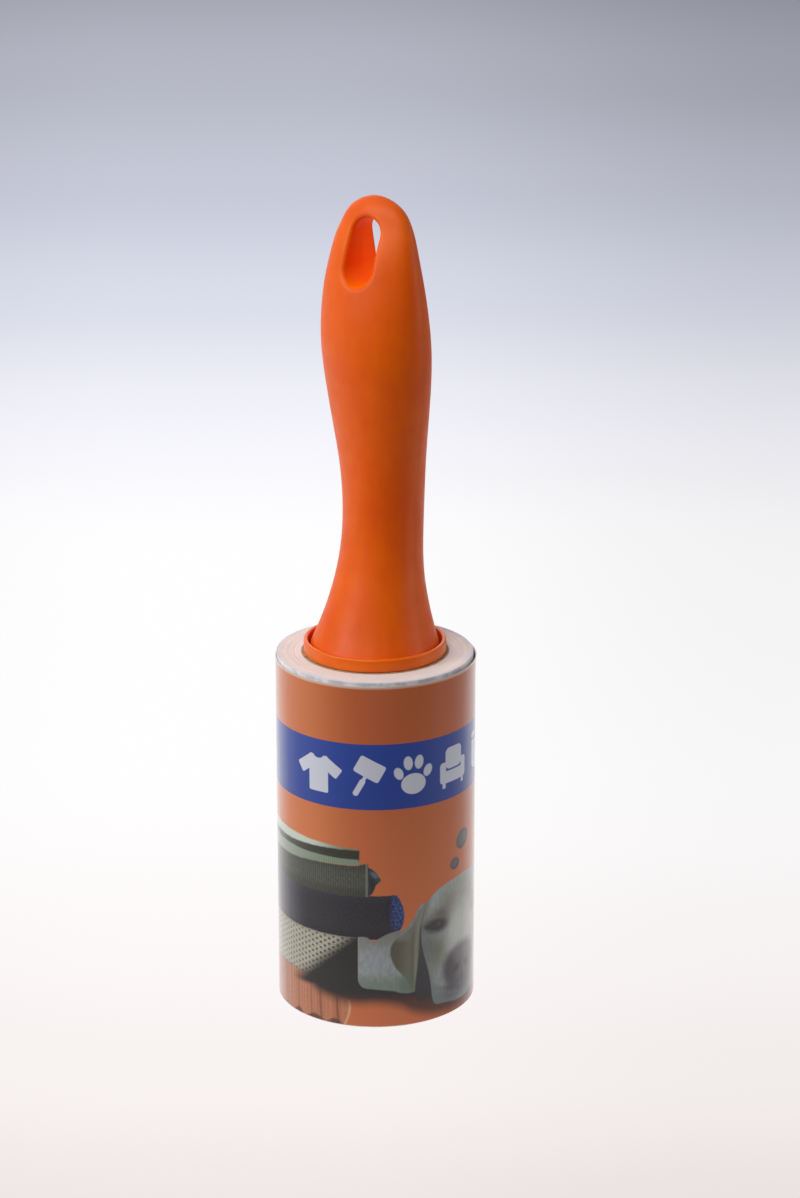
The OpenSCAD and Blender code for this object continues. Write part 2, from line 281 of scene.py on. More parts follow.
def spline(x, y, at):
    """Natural cubic spline through (x, y), read at the given places."""
    n = len(x)
    h = np.diff(x)
    matrix = np.zeros((n, n))
    right = np.zeros(n)
    matrix[0, 0] = matrix[-1, -1] = 1
    for i in range(1, n - 1):
        matrix[i, i - 1:i + 2] = h[i - 1], 2 * (h[i - 1] + h[i]), h[i]
        right[i] = 6 * ((y[i + 1] - y[i]) / h[i] - (y[i] - y[i - 1]) / h[i - 1])
    m = np.linalg.solve(matrix, right)
    i = np.clip(np.searchsorted(x, at) - 1, 0, n - 2)
    past, left = at - x[i], x[i + 1] - at
    return (m[i] * left ** 3 + m[i + 1] * past ** 3) / (6 * h[i]) \
        + (y[i] / h[i] - m[i] * h[i] / 6) * left \
        + (y[i + 1] / h[i] - m[i + 1] * h[i] / 6) * past


def softened(values, sigma):
    """Gaussian-smooths a column, holding its ends."""
    k = int(4 * sigma)
    weights = np.exp(-0.5 * (np.arange(-k, k + 1) / sigma) ** 2)
    weights /= weights.sum()
    padded = np.concatenate([2 * values[0] - values[k:0:-1], values,
                             2 * values[-1] - values[-2:-k - 2:-1]])
    return np.convolve(padded, weights, mode="valid")


def grip_profile():
    """The stations' columns as smooth tables over the square root of depth."""
    roots = np.linspace(0, math.sqrt(131.0), 4001)
    pitch = roots[1] - roots[0]
    # smoothed well over the body, less towards the foot, where the bell flares
    bell = np.clip((roots - math.sqrt(112)) / (math.sqrt(121) - math.sqrt(112)), 0, 1)
    raw = [spline(np.sqrt(STATIONS[:, 0]), STATIONS[:, c], roots) for c in (1, 2, 3)]
    return roots, [softened(r, 0.16 / pitch) * (1 - bell) + softened(r, 0.035 / pitch) * bell
                   for r in raw]


ROOTS, PROFILE = grip_profile()


def section(z):
    """Half width, half depth and centre offset at height z, and their slopes along z."""
    root = np.sqrt(np.clip(TOP - np.asarray(z, float), 1e-6, None))
    high, low = root + 0.004, np.maximum(root - 0.004, 0)
    values = [np.interp(root, ROOTS, column) for column in PROFILE]
    slopes = [-(np.interp(high, ROOTS, column) - np.interp(low, ROOTS, column))
              / (high - low) / (2 * root) for column in PROFILE]
    return values, slopes


def centre_y(z):
    return section(z)[0][2]


def reach(u, v):
    return np.sqrt(u * u + v * v)


def form(x, y, z, inset=0.0):
    """Close to the distance outside the grip's outer surface, drawn in by inset."""
    (wide, deep, mid), (wide_slope, deep_slope, mid_slope) = section(z)
    wide = np.maximum(wide - inset, 0.02)
    deep = np.maximum(deep - inset, 0.02)
    u, v = x / wide, (y - mid) / deep
    r = reach(u, v) + 1e-9
    gx, gy = u / (wide * r), v / (deep * r)
    gz = -(u * u * wide_slope / wide + v * v * deep_slope / deep + v * mid_slope / deep) / r
    distance = (r - 1) / np.sqrt(gx * gx + gy * gy + gz * gz + 1e-12)
    over = np.asarray(z, float) - (TOP - inset)
    return np.where(over > -0.003, over + 0.01, distance)


SLOT_Z, SLOT_WIDTH, SLOT_LENGTH = TOP - 14.2, 9.4, 17.6      # hang slot through the top
GRIP_WALL = 2.2
PINS = [(z, side * x) for z, x in ((139, 5.0), (168, 8.0), (192, 9.4)) for side in (-1, 1)]


def slot_distance(x, z, margin=0):
    """Distance outside the round-ended hang slot, in the XZ plane."""
    width, length = SLOT_WIDTH + margin, SLOT_LENGTH + margin
    dz = np.maximum(np.abs(z - SLOT_Z) - (length - width) / 2, 0)
    return reach(x, dz) - width / 2


def fillet_max(f, g, r):
    """The larger of two distances, with the edge where they meet rounded to radius r."""
    return np.minimum(np.maximum(f, g), -r) + reach(np.maximum(f + r, 0), np.maximum(g + r, 0))


def shell(x, y, z, back):
    """The grip before it is parted: outer form less slot, hollow, bores and sockets."""
    body = form(x, y, z)
    body = fillet_max(body, -slot_distance(x, z), 1.35)
    body = fillet_max(body, FOOT - z, 0.5)
    hollow = np.maximum(form(x, y, z, GRIP_WALL), np.maximum(FOOT + 2 - z, z - (TOP - 6.5)))
    hollow = np.maximum(hollow, -slot_distance(x, z, margin=4))
    for plate in (FOOT + 12, FOOT + 18):                    # solid cross plates
        hollow = np.maximum(hollow, -(np.abs(z - plate) - 1.0))
    mid = centre_y(z)
    for plate in (153.75, 180.75):                          # cross plates with a round hole
        outside = 6 - reach(x, y - mid)
        hollow = np.maximum(hollow, -np.maximum(np.abs(z - plate) - 0.75, outside))
    for pin_z, pin_x in PINS:                               # bosses
        hollow = np.maximum(hollow, -(reach(x - pin_x, z - pin_z) - 2.5))
    body = np.maximum(body, -hollow)
    # round bore at the foot, and the square socket above it
    body = np.maximum(body, -np.maximum(reach(x, y) - 6.1, z - (FOOT + 4)))
    socket = np.maximum(np.maximum(np.abs(x), np.abs(y)) - 4.55,
                        np.maximum(FOOT + 10 - z, z - (FOOT + 20)))
    body = np.maximum(body, -socket)
    if back:
        for pin_z, pin_x in PINS:                           # pin holes
            hole = reach(x - pin_x, z - pin_z) - 1.55
            body = np.maximum(body, -np.maximum(hole, (y - mid) - 3.2))
    return body


CORNERS = list(product((0, 1), repeat=3))


def surface_cells(inside):
    """Mask of the grid cells that the surface runs through."""
    nx, ny, nz = (n - 1 for n in inside.shape)
    count = np.zeros((nx, ny, nz), np.int8)
    for a, b, c in CORNERS:
        count += inside[a:nx + a, b:ny + b, c:nz + c]
    return (count > 0) & (count < 8)


def cell_points(field, axes, cells):
    """One point per cell: the mean of where the field crosses zero on the cell's edges."""
    total = np.zeros((len(cells[0]), 3))
    crossings = np.zeros(len(cells[0]))
    for start, end in product(CORNERS, CORNERS):
        if sum(end) - sum(start) != 1 or any(e < s for s, e in zip(start, end)):
            continue
        low = tuple(c + s for c, s in zip(cells, start))
        high = tuple(c + e for c, e in zip(cells, end))
        f_low, f_high = field[low], field[high]
        crosses = (f_low < 0) != (f_high < 0)
        t = np.where(crosses, f_low / np.where(crosses, f_low - f_high, 1), 0)
        points = np.stack([a[i] + t * (a[j] - a[i]) for a, i, j in zip(axes, low, high)], -1)
        total[crosses] += points[crosses]
        crossings += crosses
    return total / crossings[:, None]


def cell_quads(inside, number):
    """One quad round every grid edge that crosses the surface."""
    faces = []
    for axis in range(3):
        edge = np.nonzero(np.diff(inside, axis=axis))
        u, v = (axis + 1) % 3, (axis + 2) % 3
        kept = (edge[u] > 0) & (edge[v] > 0)
        kept &= (edge[u] < inside.shape[u] - 1) & (edge[v] < inside.shape[v] - 1)
        edge = [k[kept] for k in edge]
        outward = inside[tuple(edge)]
        quad = []
        for du, dv in ((-1, -1), (0, -1), (0, 0), (-1, 0)):
            cell = [k.copy() for k in edge]
            cell[u] += du
            cell[v] += dv
            quad.append(number[tuple(cell)])
        quad = np.stack(quad, -1)
        quad[~outward] = quad[~outward][:, ::-1]
        faces.append(quad)
    return np.vstack(faces)


def grip_half(back, step):
    """Points and quads of the half towards +Y (back) or -Y, meshed at the given grid step."""
    side = 1.0 if back else -1.0
    gap = 0.02                                              # from the parting surface
    across = int(37.6 / step)
    xs = (np.arange(across + 1) - across / 2.0) * step
    ys = np.sort(side * (np.arange(int(18.8 / step) + 2) - 0.5) * step)
    zs = FOOT - 0.7 + np.arange(int(126.9 / step) + 2) * step
    x, y, z = np.meshgrid(xs, ys, zs, indexing="ij")        # y is measured from centre_y
    body = shell(x, y + np.broadcast_to(centre_y(zs), x.shape), z, back)
    field = np.maximum(body, -side * y + gap)
    inside = field < 0
    active = surface_cells(inside)
    cells = np.nonzero(active)
    number = np.full(active.shape, -1, np.int64)
    number[active] = np.arange(len(cells[0]))
    points = cell_points(field, (xs, ys, zs), cells)
    faces = cell_quads(inside, number)

    # points of the layer of cells that the parting surface runs through, and its rim
    last = len(ys) - 2
    on_plane = cells[1] == (0 if back else last)
    solid = body[:, 1 if back else last, :] < 0
    filled = solid[:-1, :-1].astype(int) + solid[1:, :-1] + solid[:-1, 1:] + solid[1:, 1:]
    filled = filled[cells[0], cells[2]]
    rim = on_plane & (filled > 0) & (filled < 4)

    def distance(p):
        return shell(p[:, 0], p[:, 1] + centre_y(p[:, 2]), p[:, 2], back)

    points[on_plane, 1] = side * gap
    probe = 0.01
    moving = ~on_plane | rim
    for _ in range(5):
        value = distance(points)
        slope = np.stack([(distance(points + d) - distance(points - d)) / (2 * probe)
                          for d in np.eye(3) * probe], -1)
        slope[rim, 1] = 0
        steep = (slope * slope).sum(1) + 1e-9
        move = -(value / np.maximum(steep, 0.05))[:, None] * slope
        length = np.linalg.norm(move, axis=1, keepdims=True)
        move *= np.minimum(1, 0.25 * step / np.maximum(length, 1e-9))
        points[moving] += move[moving]
        points[on_plane, 1] = side * gap
    points[:, 1] += centre_y(points[:, 2])
    return points, faces


def untangle(points, quads):
    """Where bits of surface touch along an edge, gives each fan of faces its own vertices."""
    edges = np.sort(np.stack([quads, np.roll(quads, 1, 1)], -1).reshape(-1, 2), 1)
    keys, counts = np.unique(edges[:, 0] * len(points) + edges[:, 1], return_counts=True)
    bad = keys[counts > 2]
    if not len(bad):
        return points, quads.tolist()
    ends = [int(v) for v in np.unique(np.r_[bad // len(points), bad % len(points)])]
    points, faces = [tuple(p) for p in points], quads.tolist()
    near = {}
    for index in np.nonzero(np.isin(quads, ends).any(1))[0]:
        for v in quads[index]:
            near.setdefault(int(v), []).append(int(index))
    for v in ends:
        fans = {index: index for index in near[v]}

        def root(index):
            while fans[index] != index:
                index = fans[index]
            return index

        by_edge = {}
        for index in near[v]:
            face = faces[index]
            k = face.index(v)
            for other in (face[k - 1], face[(k + 1) % 4]):
                by_edge.setdefault(other, []).append(index)
        for pair in by_edge.values():
            if len(pair) == 2:
                fans[root(pair[1])] = root(pair[0])
        groups = {}
        for index in near[v]:
            groups.setdefault(root(index), []).append(index)
        for group in list(groups.values())[1:]:
            points.append(points[v])
            for index in group:
                faces[index] = [len(points) - 1 if w == v else w for w in faces[index]]

    # an edge that still carries two pairs of faces gets a middle vertex for each pair
    shared = {}
    for v in ends:
        for index in set(near[v]):
            face = faces[index]
            for k in range(len(face)):
                edge = min(face[k], face[k - 1]), max(face[k], face[k - 1])
                shared.setdefault(edge, []).append(index)

    def forward(face, a, b):
        return face[(face.index(a) + 1) % len(face)] == b

    for (a, b), users in shared.items():
        users = sorted(set(users))
        if len(users) != 4:
            continue
        runs = {True: [], False: []}
        for index in users:
            runs[forward(faces[index], a, b)].append(index)
        if len(runs[True]) != 2:
            continue
        for pair in zip(runs[True], runs[False]):
            points.append(tuple((np.array(points[a]) + np.array(points[b])) / 2))
            for index in pair:
                face = faces[index]
                k = face.index(a if forward(face, a, b) else b)
                faces[index] = face[:k + 1] + [len(points) - 1] + face[k + 1:]
    return np.array(points), faces


def grip_piece(name, back):
    half = grip_half(back, step=0.42)
    return new_mesh(name, *untangle(*half), sharp_deg=40)


def locating_pins():
    """The six pins of the -Y half, each lathed about Z and then turned to +Y."""
    pins = []
    for pin_z, pin_x in PINS:
        # (r, z, corner radius)
        outline = rounded([(0.0, -1.5, 0), (1.5, -1.5, 0), (1.5, 2.8, 0.45), (0.0, 2.8, 0)],
                          steps=4)
        pin = lathe_solid("pin", outline, 32)
        co = np.array([v.co for v in pin.data.vertices])
        co = np.c_[co[:, 0] + pin_x * MM, co[:, 2] + float(centre_y(pin_z)) * MM,
                   -co[:, 1] + pin_z * MM]
        pin.data.vertices.foreach_set("co", co.ravel())
        pin.data.update()
        pins.append(pin)
    return joined("grip_locating_pins", pins, sharp_deg=40)


# ---- Axle stem, spindle sleeve and end cap; outline columns are (r, z, corner radius) ----

def axle_stem():
    """Slit tip, cross-shaped stem with discs, collars at the flange, and a square key."""
    axle = lathe_solid("axle_tip", rounded([
        (0, 0.6, 0), (3.3, 0.6, 0.35), (4.7, 1.8, 0.3), (4.7, 2.75, 0.12), (4.35, 2.9, 0),
        (4.0, 2.9, 0.1), (4.0, 16, 0.3), (0, 16, 0)], steps=4), 96)
    boolean(axle, [prism(rectangle(-0.8, -8, 0.8, 8), -1, 12)], "DIFFERENCE")
    ribs = [prism(rectangle(-5.4, -1.2, 5.4, 1.2, 0.25), 14.8, HUB_Z + 0.3, turn=t)
            for t in (0, math.pi / 2)]
    boolean(ribs[0], [ribs[1]], "UNION")
    discs = [lathe_solid("disc", rounded([(0, z, 0), (5.6, z, 0.3), (5.6, z + 2, 0.3),
                                          (0, z + 2, 0)], steps=3), 96)
             for z in (15, 34, 53, 72)]
    upper = lathe_solid("upper", rounded([
        (0, HUB_Z - 1, 0), (5.5, HUB_Z - 1, 0.2), (6.0, HUB_Z - 0.5, 0.2),
        (6.0, WEB_TOP + 0.1, 0.15), (8.0, WEB_TOP + 0.1, 0.25), (8.0, FOOT - 0.1, 0.25),
        (6.0, FOOT - 0.1, 0.1), (6.0, FOOT + 2.1, 0.1), (9.5, FOOT + 2.1, 0.3),
        (9.5, FOOT + 4.1, 0.4), (0, FOOT + 4.1, 0)], steps=4), 128)
    key = prism(rectangle(-4.5, -4.5, 4.5, 4.5, 0.4), FOOT + 3.6, FOOT + 20)
    boolean(axle, [ribs[0]] + discs + [upper, key], "UNION")
    axle.name = "axle_turned_stem"
    return shade_smooth(axle, 35)


def spindle_sleeve():
    """Tube, web, hub and flange ring in one outline, with ribs, gussets and U-shaped slits."""
    sleeve = lathe("sleeve_with_flange", split_long(rounded([
        (6.06, HUB_Z, 0.2), (8.2, HUB_Z, 0.3), (8.2, WEB_BOTTOM, 0.6),
        (17.15, WEB_BOTTOM, 0.6), (17.15, 4.2, 0.2), (18.75, 4.2, 0.6),
        (18.75, FLANGE_Z, 0.15), (19.65, FLANGE_Z, 0.35), (19.65, FLANGE_Z + 3.6, 0.5),
        (18.5, FLANGE_Z + 3.6, 0.42), (18.55, WEB_TOP, 0.5), (6.06, WEB_TOP, 0.2)],
        steps=6), longest=6.0))

    def bulge(corners, angle, half_angle, steps):
        half = math.radians(half_angle)
        return arc_piece(rounded(corners, steps=4), angle - half, angle + half, steps)

    rib = [(18.3, 7.6, 0), (18.97, 12, 1.5), (18.97, 92, 1.5), (18.3, 96.4, 0)]
    bump = [(18.3, 19.4, 0), (19.0, 21.6, 0.8), (19.0, 23, 0.8), (18.3, 26.4, 0)]
    slit = [(-4.5, 18, 0.9), (4.5, 18, 0.9), (4.5, 42, 0.48), (3.5, 42, 0.48), (3.5, 19, 0.5),
            (-3.5, 19, 0.5), (-3.5, 42, 0.48), (-4.5, 42, 0.48)]      # (x, z, corner radius)
    adds, cuts = [], []
    for i in range(6):
        angle = math.radians(60 * i + 15)
        adds.append(bulge(rib, angle, 2, 4))
        adds.append(prism(rectangle(7.6, -0.6, 17.5, 0.6), HUB_Z + 1.5, WEB_BOTTOM + 0.5,
                          turn=angle))
    for degrees in (45, 165, 285):
        angle = math.radians(degrees)
        adds.append(bulge(bump, angle, 8, 8))
        cuts.append(prism(rounded(slit, steps=4), -21.5, -15, upright=True,
                          turn=angle - math.pi / 2))
    boolean(sleeve, adds, "UNION")
    boolean(sleeve, cuts, "DIFFERENCE")
    return shade_smooth(sleeve, 30)


def end_cap():
    """Disc with a rim and a hub, pierced by a ring of six round windows."""
    cap = lathe("cap_with_hub", split_long(rounded([
        (4.06, 3.0, 0.3), (18.6, 3.0, 0.4), (18.6, 4.15, 0.12), (17.1, 4.15, 0.1),
        (17.1, 9.4, 0.2), (16.75, 10, 0.1), (15.75, 10, 0.3), (15.75, 4.6, 0.5),
        (6.4, 4.6, 0.5), (6.4, 11, 0.4), (4.06, 11, 0.3)], steps=5), longest=4.0))
    windows = []
    for degrees in range(0, 360, 60):
        angle = math.radians(degrees)
        windows.append(prism(circle(2.7, 48, 11 * math.cos(angle), 11 * math.sin(angle)), 1, 6))
    boolean(cap, windows, "DIFFERENCE")
    return shade_smooth(cap, 30)


# ---- Refill roll: core, wound sheets, first sheet, printed cover ---------------------------

def wound_ring(name, radii, z_top, z_bottom):
    """A ring whose end faces carry one height per winding, joined into a slow spiral."""
    angles = full_turn(SEGMENTS)
    turned = (angles / (2 * math.pi))[:, None]

    def face(heights):
        z = heights[:-1][None, :] * (1 - turned) + heights[1:][None, :] * turned
        return np.stack([np.cos(angles)[:, None] * radii, np.sin(angles)[:, None] * radii, z],
                        -1)

    top, bottom = face(z_top), face(z_bottom)[:, ::-1]
    # rows between the two faces, so the long walls are not single tall quads
    rows = np.linspace(0, 1, 9)[1:-1]
    outer = np.stack([top[:, -1] * (1 - t) + bottom[:, 0] * t for t in rows], 1)
    inner = np.stack([bottom[:, -1] * (1 - t) + top[:, 0] * t for t in rows], 1)
    loop = np.concatenate([top, outer, bottom, inner], 1)
    quads = np.roll(swept_quads(SEGMENTS, loop.shape[1], closed=True), -1, 1)
    return new_mesh(name, loop.reshape(-1, 3), quads, sharp_deg=50)


def core_tube():
    edge = np.array([0.10, 0.02, 0.0, 0.0, 0.01, 0.06, 0.1])      # rounding of both ends
    return wound_ring("core_tube", np.array([19.05, 19.12, 19.45, 19.9, 20.28, 20.35]),
                      ROLL_HEIGHT - edge, edge)


def wound_sheets():
    rng = np.random.default_rng(7)
    count = 52

    def uneven(spread):
        noise = np.convolve(rng.normal(0, spread, count + 9), np.ones(3) / 3, mode="same")
        return noise[4:4 + count + 1]

    # each winding stands a little high or low, and the last few have crept down
    high = uneven(0.06)
    high -= high.max()
    high = np.clip(high, -0.16, 0)
    high[-3:] -= np.array([0.04, 0.08, 0.14])
    high[0] -= 0.03
    low = np.clip(np.abs(uneven(0.05)), 0, 0.12)
    low[5] = 0.0
    return wound_ring("wound_sheets", np.linspace(20.37, 27.05, count), ROLL_HEIGHT + high, low)


def sheet_solid(name, angles, inner, z_low, z_high, thick, centre, rows, uv=None):
    """A thin closed sheet wrapped round Z. inner(angle, t) is its inner radius, t running 0..1
    up the sheet; z_low and z_high give its edges; uv is (angle of u = 0, unrolling radius)."""
    count = len(angles)
    angle, t = np.meshgrid(angles, np.linspace(0, 1, rows), indexing="ij")
    z = z_low(angle) * (1 - t) + z_high(angle) * t
    radius = inner(angle, t)
    verts = np.vstack([np.stack([centre[0] + r * np.cos(angle), centre[1] + r * np.sin(angle),
                                 z], -1).reshape(-1, 3) for r in (radius, radius + thick)])
    n = count * rows                                        # from the inner to the outer face
    i, j = np.meshgrid(np.arange(count - 1), np.arange(rows - 1), indexing="ij")
    quads = np.stack([i * rows + j, (i + 1) * rows + j, (i + 1) * rows + j + 1,
                      i * rows + j + 1], -1).reshape(-1, 4)
    faces = [quads + n, quads[:, ::-1]]
    along, up = np.arange(count - 1) * rows, np.arange(rows - 1)
    for a, stride, flip in ((along, rows, False), (along + rows - 1, rows, True),
                            (up, 1, True), (up + (count - 1) * rows, 1, False)):
        b = a + stride
        strip = np.stack([a, b, b + n, a + n], -1)
        faces.append(strip[:, ::-1] if flip else strip)
    if uv is not None:
        face_uv = np.stack([(angle - uv[0]) * uv[1], z], -1).reshape(-1, 2)
        uv = np.vstack([face_uv, face_uv]) / 100.0
    return new_mesh(name, verts, np.vstack(faces), sharp_deg=50, uv=uv)


def first_sheet():
    """Not quite one turn, with a slight lift at its free end."""
    return sheet_solid(
        "first_sheet", np.linspace(150 * DEG, 504 * DEG, SEGMENTS + 1),
        inner=lambda a, t: 27.075 + 0.02 * np.clip((a - 480 * DEG) / (24 * DEG), 0, 1) ** 2,
        z_low=lambda a: 0.10 + 0.05 * np.sin(a * 2),
        z_high=lambda a: ROLL_HEIGHT - 0.20 - 0.10 * np.sin(a + 0.6),
        thick=0.12, centre=(0, 0), rows=25)


COVER_FRONT = (CAMERA_BEARING - 90 + 360) * DEG             # the direction facing the camera
COVER_CENTRE = (0.12 * math.cos(38 * DEG), 0.12 * math.sin(38 * DEG))


def cover_radius(a, t):
    lap = np.clip((a - 471 * DEG) / (6 * DEG), 0, 1)        # the overlap's rise
    lap = lap * lap * (3 - 2 * lap)
    wave = 0.02 * np.sin(2 * a + 0.7) + 0.012 * np.sin(5 * a + 2.0)
    rim = np.clip((t - 0.93) / 0.07, 0, 1) ** 2
    foot = np.clip((0.05 - t) / 0.05, 0, 1) ** 2
    side = np.exp(-((a - 396 * DEG) / (26 * DEG)) ** 2)
    snug = 0.09 * np.exp(-((a - 218 * DEG) / (48 * DEG)) ** 2)
    lip = rim * (0.16 * side + 0.02 * np.sin(3 * a + 1)) + foot * 0.03 * np.sin(4 * a)
    return 27.46 + 0.265 * lap + wave + lip - snug


def cover_sheet():
    """One wrap with its overlap on the far side, set a little to the camera's right."""
    count = 440
    angles = np.concatenate([np.linspace(116, 470, int(count * 0.9), endpoint=False),
                             np.linspace(470, 500, int(count * 0.1))]) * DEG
    return sheet_solid("printed_cover_sheet", angles, inner=cover_radius,
                       z_low=lambda a: 0.46 + 0.02 * np.sin(3 * a),
                       z_high=lambda a: 100.45 + 0.05 * np.sin(2 * a + 1.0),
                       thick=0.25, centre=COVER_CENTRE, rows=64,
                       uv=(COVER_FRONT, 27.7))


# ---- Node tools ----------------------------------------------------------------------------

def linear(colour):
    """sRGB 0-255 to linear."""
    return tuple(c / 12.92 if c <= 0.04045 else ((c + 0.055) / 1.055) ** 2.4
                 for c in (v / 255.0 for v in colour))


class Value:
    """One scalar in a node tree, with arithmetic."""

    def __init__(self, tree, socket):
        self.tree, self.socket = tree, socket

    def __add__(self, other):
        return self.tree.calc("ADD", self, other)

    __radd__ = __add__

    def __sub__(self, other):
        return self.tree.calc("SUBTRACT", self, other)

    def __rsub__(self, other):
        return self.tree.calc("SUBTRACT", other, self)

    def __mul__(self, other):
        return self.tree.calc("MULTIPLY", self, other)

    def __truediv__(self, other):
        return self.tree.calc("DIVIDE", self, other)


class Tree:
    """A node tree. Colours are given as sRGB 0-255 triples."""

    def __init__(self, node_tree):
        self.tree = node_tree

    def put(self, socket, value):
        if isinstance(value, Value):
            self.tree.links.new(value.socket, socket)
        elif isinstance(value, bpy.types.NodeSocket):
            self.tree.links.new(value, socket)
        elif isinstance(value, tuple) and len(value) == 3 and len(socket.default_value) == 4:
            socket.default_value = (*linear(value), 1.0)
        else:
            socket.default_value = value

    def node(self, kind, inputs=None, **settings):
        """A node with its settings, and its inputs by number or name."""
        node = self.tree.nodes.new("ShaderNode" + kind)
        for key, value in settings.items():
            setattr(node, key, value)
        for key, value in (inputs or {}).items():
            self.put(node.inputs[key], value)
        return node

    def value(self, kind, inputs=None, output=0, **settings):
        """As node, giving one output as a scalar."""
        return Value(self, self.node(kind, inputs, **settings).outputs[output])


class Graph(Tree):
    """A material built round one Principled shader."""

    INPUTS = {"color": "Base Color", "rough": "Roughness", "ior": "IOR", "normal": "Normal",
              "coat": "Coat Weight", "coat_rough": "Coat Roughness", "coat_ior": "Coat IOR",
              "coat_normal": "Coat Normal", "sss": "Subsurface Weight",
              "sss_radius": "Subsurface Radius", "sss_scale": "Subsurface Scale",
              "spec": "Specular IOR Level", "glow": "Emission Color",
              "glow_strength": "Emission Strength"}

    def __init__(self, name):
        self.material = bpy.data.materials.new(name)
        self.material.use_nodes = True
        super().__init__(self.material.node_tree)
        self.tree.nodes.clear()
        self.out = self.node("OutputMaterial")
        self.shader = self.node("BsdfPrincipled")
        self.put(self.out.inputs["Surface"], self.shader.outputs[0])

    def set(self, **values):
        for key, value in values.items():
            self.put(self.shader.inputs[self.INPUTS[key]], value)
        return self.material

    def calc(self, operation, *terms):
        return self.value("Math", dict(enumerate(terms)), operation=operation)

    def max(self, a, b):
        return self.calc("MAXIMUM", a, b)

    def min(self, a, b):
        return self.calc("MINIMUM", a, b)

    def abs(self, a):
        return self.calc("ABSOLUTE", a)

    def sin(self, a):
        return self.calc("SINE", a)

    def remap(self, x, a, b, c=0.0, d=1.0, kind="LINEAR"):
        """x with a..b carried to c..d, and on beyond both ends."""
        return self.value("MapRange", {0: x, 1: a, 2: b, 3: c, 4: d},
                          interpolation_type=kind, clamp=False)

    def fade(self, x, zero_at, one_at):
        """0 where x is at zero_at or beyond, 1 at one_at or beyond, smooth between."""
        return self.remap(x, zero_at, one_at, kind="SMOOTHSTEP")

    def ramp(self, x, a, b, c=0.0, d=1.0):
        """As remap, held within c and d."""
        return self.min(self.max(self.remap(x, a, b, c, d), min(c, d)), max(c, d))

    def mix(self, factor, a, b):
        return self.node("Mix", {0: factor, 6: a, 7: b}, data_type="RGBA",
                         clamp_factor=True).outputs[2]

    def paint(self, colour, *coats):
        """A colour with coats of (mask, colour) laid over it in turn."""
        for mask, coat in coats:
            colour = self.mix(mask, colour, coat)
        return colour

    def coords(self, kind="Object"):
        return self.node("TexCoord").outputs[kind]

    def noise(self, vector, scale, detail=2.0, rough=0.5):
        return self.value("TexNoise", {"Vector": vector, "Scale": scale, "Detail": detail,
                                       "Roughness": rough})

    def curve(self, x, points):
        """A smooth line through (x, y) points, level beyond its ends."""
        x0, x1 = points[0][0], points[-1][0]
        y0, y1 = min(p[1] for p in points) - 1.0, max(p[1] for p in points) + 1.0
        node = self.node("FloatCurve", {1: self.remap(x, x0, x1)})
        node.mapping.extend = "HORIZONTAL"
        line = node.mapping.curves[0]
        while len(line.points) < len(points):
            line.points.new(0.5, 0.5)
        for knot, (px, py) in zip(line.points, points):
            knot.location = ((px - x0) / (x1 - x0), (py - y0) / (y1 - y0))
        node.mapping.update()
        return Value(self, node.outputs[0]) * (y1 - y0) + y0

    def place(self, vector, at=(0, 0, 0), turn=0.0, scale=(1, 1, 1), kind="TEXTURE"):
        return self.node("Mapping", {0: vector, "Location": at, "Rotation": (0, 0, turn),
                                     "Scale": scale}, vector_type=kind).outputs[0]

    def stretch(self, vector, scale):
        return self.place(vector, scale=scale, kind="POINT")

    def length(self, vector):
        return self.value("VectorMath", {0: vector}, "Value", operation="LENGTH")

    def split(self, vector):
        return [Value(self, o) for o in self.node("SeparateXYZ", {0: vector}).outputs]

    def join(self, x, y, z=0.0):
        return self.node("CombineXYZ", {0: x, 1: y, 2: z}).outputs[0]

    def bump(self, height, strength, distance, **normal):
        return self.node("Bump", {"Strength": strength, "Distance": distance,
                                  "Height": height, **normal}).outputs[0]


# ---- Materials of the plastic, board and sheets ---------------------------------------------

def orange_plastic(name, base, deep, rough, grain, coat=0.0, slot=False):
    """Moulded plastic: flow-marked colour, fine grain, light that soaks in a little."""
    g = Graph(name)
    pos = g.coords()
    cloud = g.noise(pos, scale=60, detail=3, rough=0.55)
    streak = g.noise(g.stretch(pos, (1, 1, 0.22)), scale=220)
    speck = g.fade(g.noise(pos, scale=900, detail=1), 0.66, 0.8)
    color = g.paint(base,
                    (g.fade(cloud * 0.7 + streak * 0.3, 0.32, 0.68), deep),
                    (speck * 0.10, (250, 150, 90)))
    fine = g.noise(pos, scale=3600, rough=0.6)
    soft = g.noise(pos, scale=700)
    normal = g.bump(fine * 0.6 + soft * 0.7, strength=0.28 * grain, distance=0.00012)
    patches = g.noise(pos, scale=240, detail=3, rough=0.6)
    spec = 0.27
    if slot:
        # daylight soaking through the thin wall round the hang slot
        x, _, z = g.split(pos)
        dz = g.max(g.abs(z * 1000.0 - SLOT_Z) - (SLOT_LENGTH - SLOT_WIDTH) / 2, 0.0)
        distance = g.length(g.join(x * 1000.0, dz))
        wall = g.fade(distance, SLOT_WIDTH / 2 + 0.75, SLOT_WIDTH / 2 + 0.05)
        g.set(glow=(255, 84, 0), glow_strength=wall * 0.055)
        color = g.mix(wall, color, (246, 104, 0))
        spec = 0.27 - wall * 0.22
    return g.set(color=color, rough=g.ramp(patches, 0.3, 0.7, rough - 0.05, rough + 0.07),
                 normal=normal, ior=1.49, sss=0.25, sss_radius=(0.0022, 0.0006, 0.00018),
                 sss_scale=1.0, spec=spec, coat=coat, coat_rough=0.25)


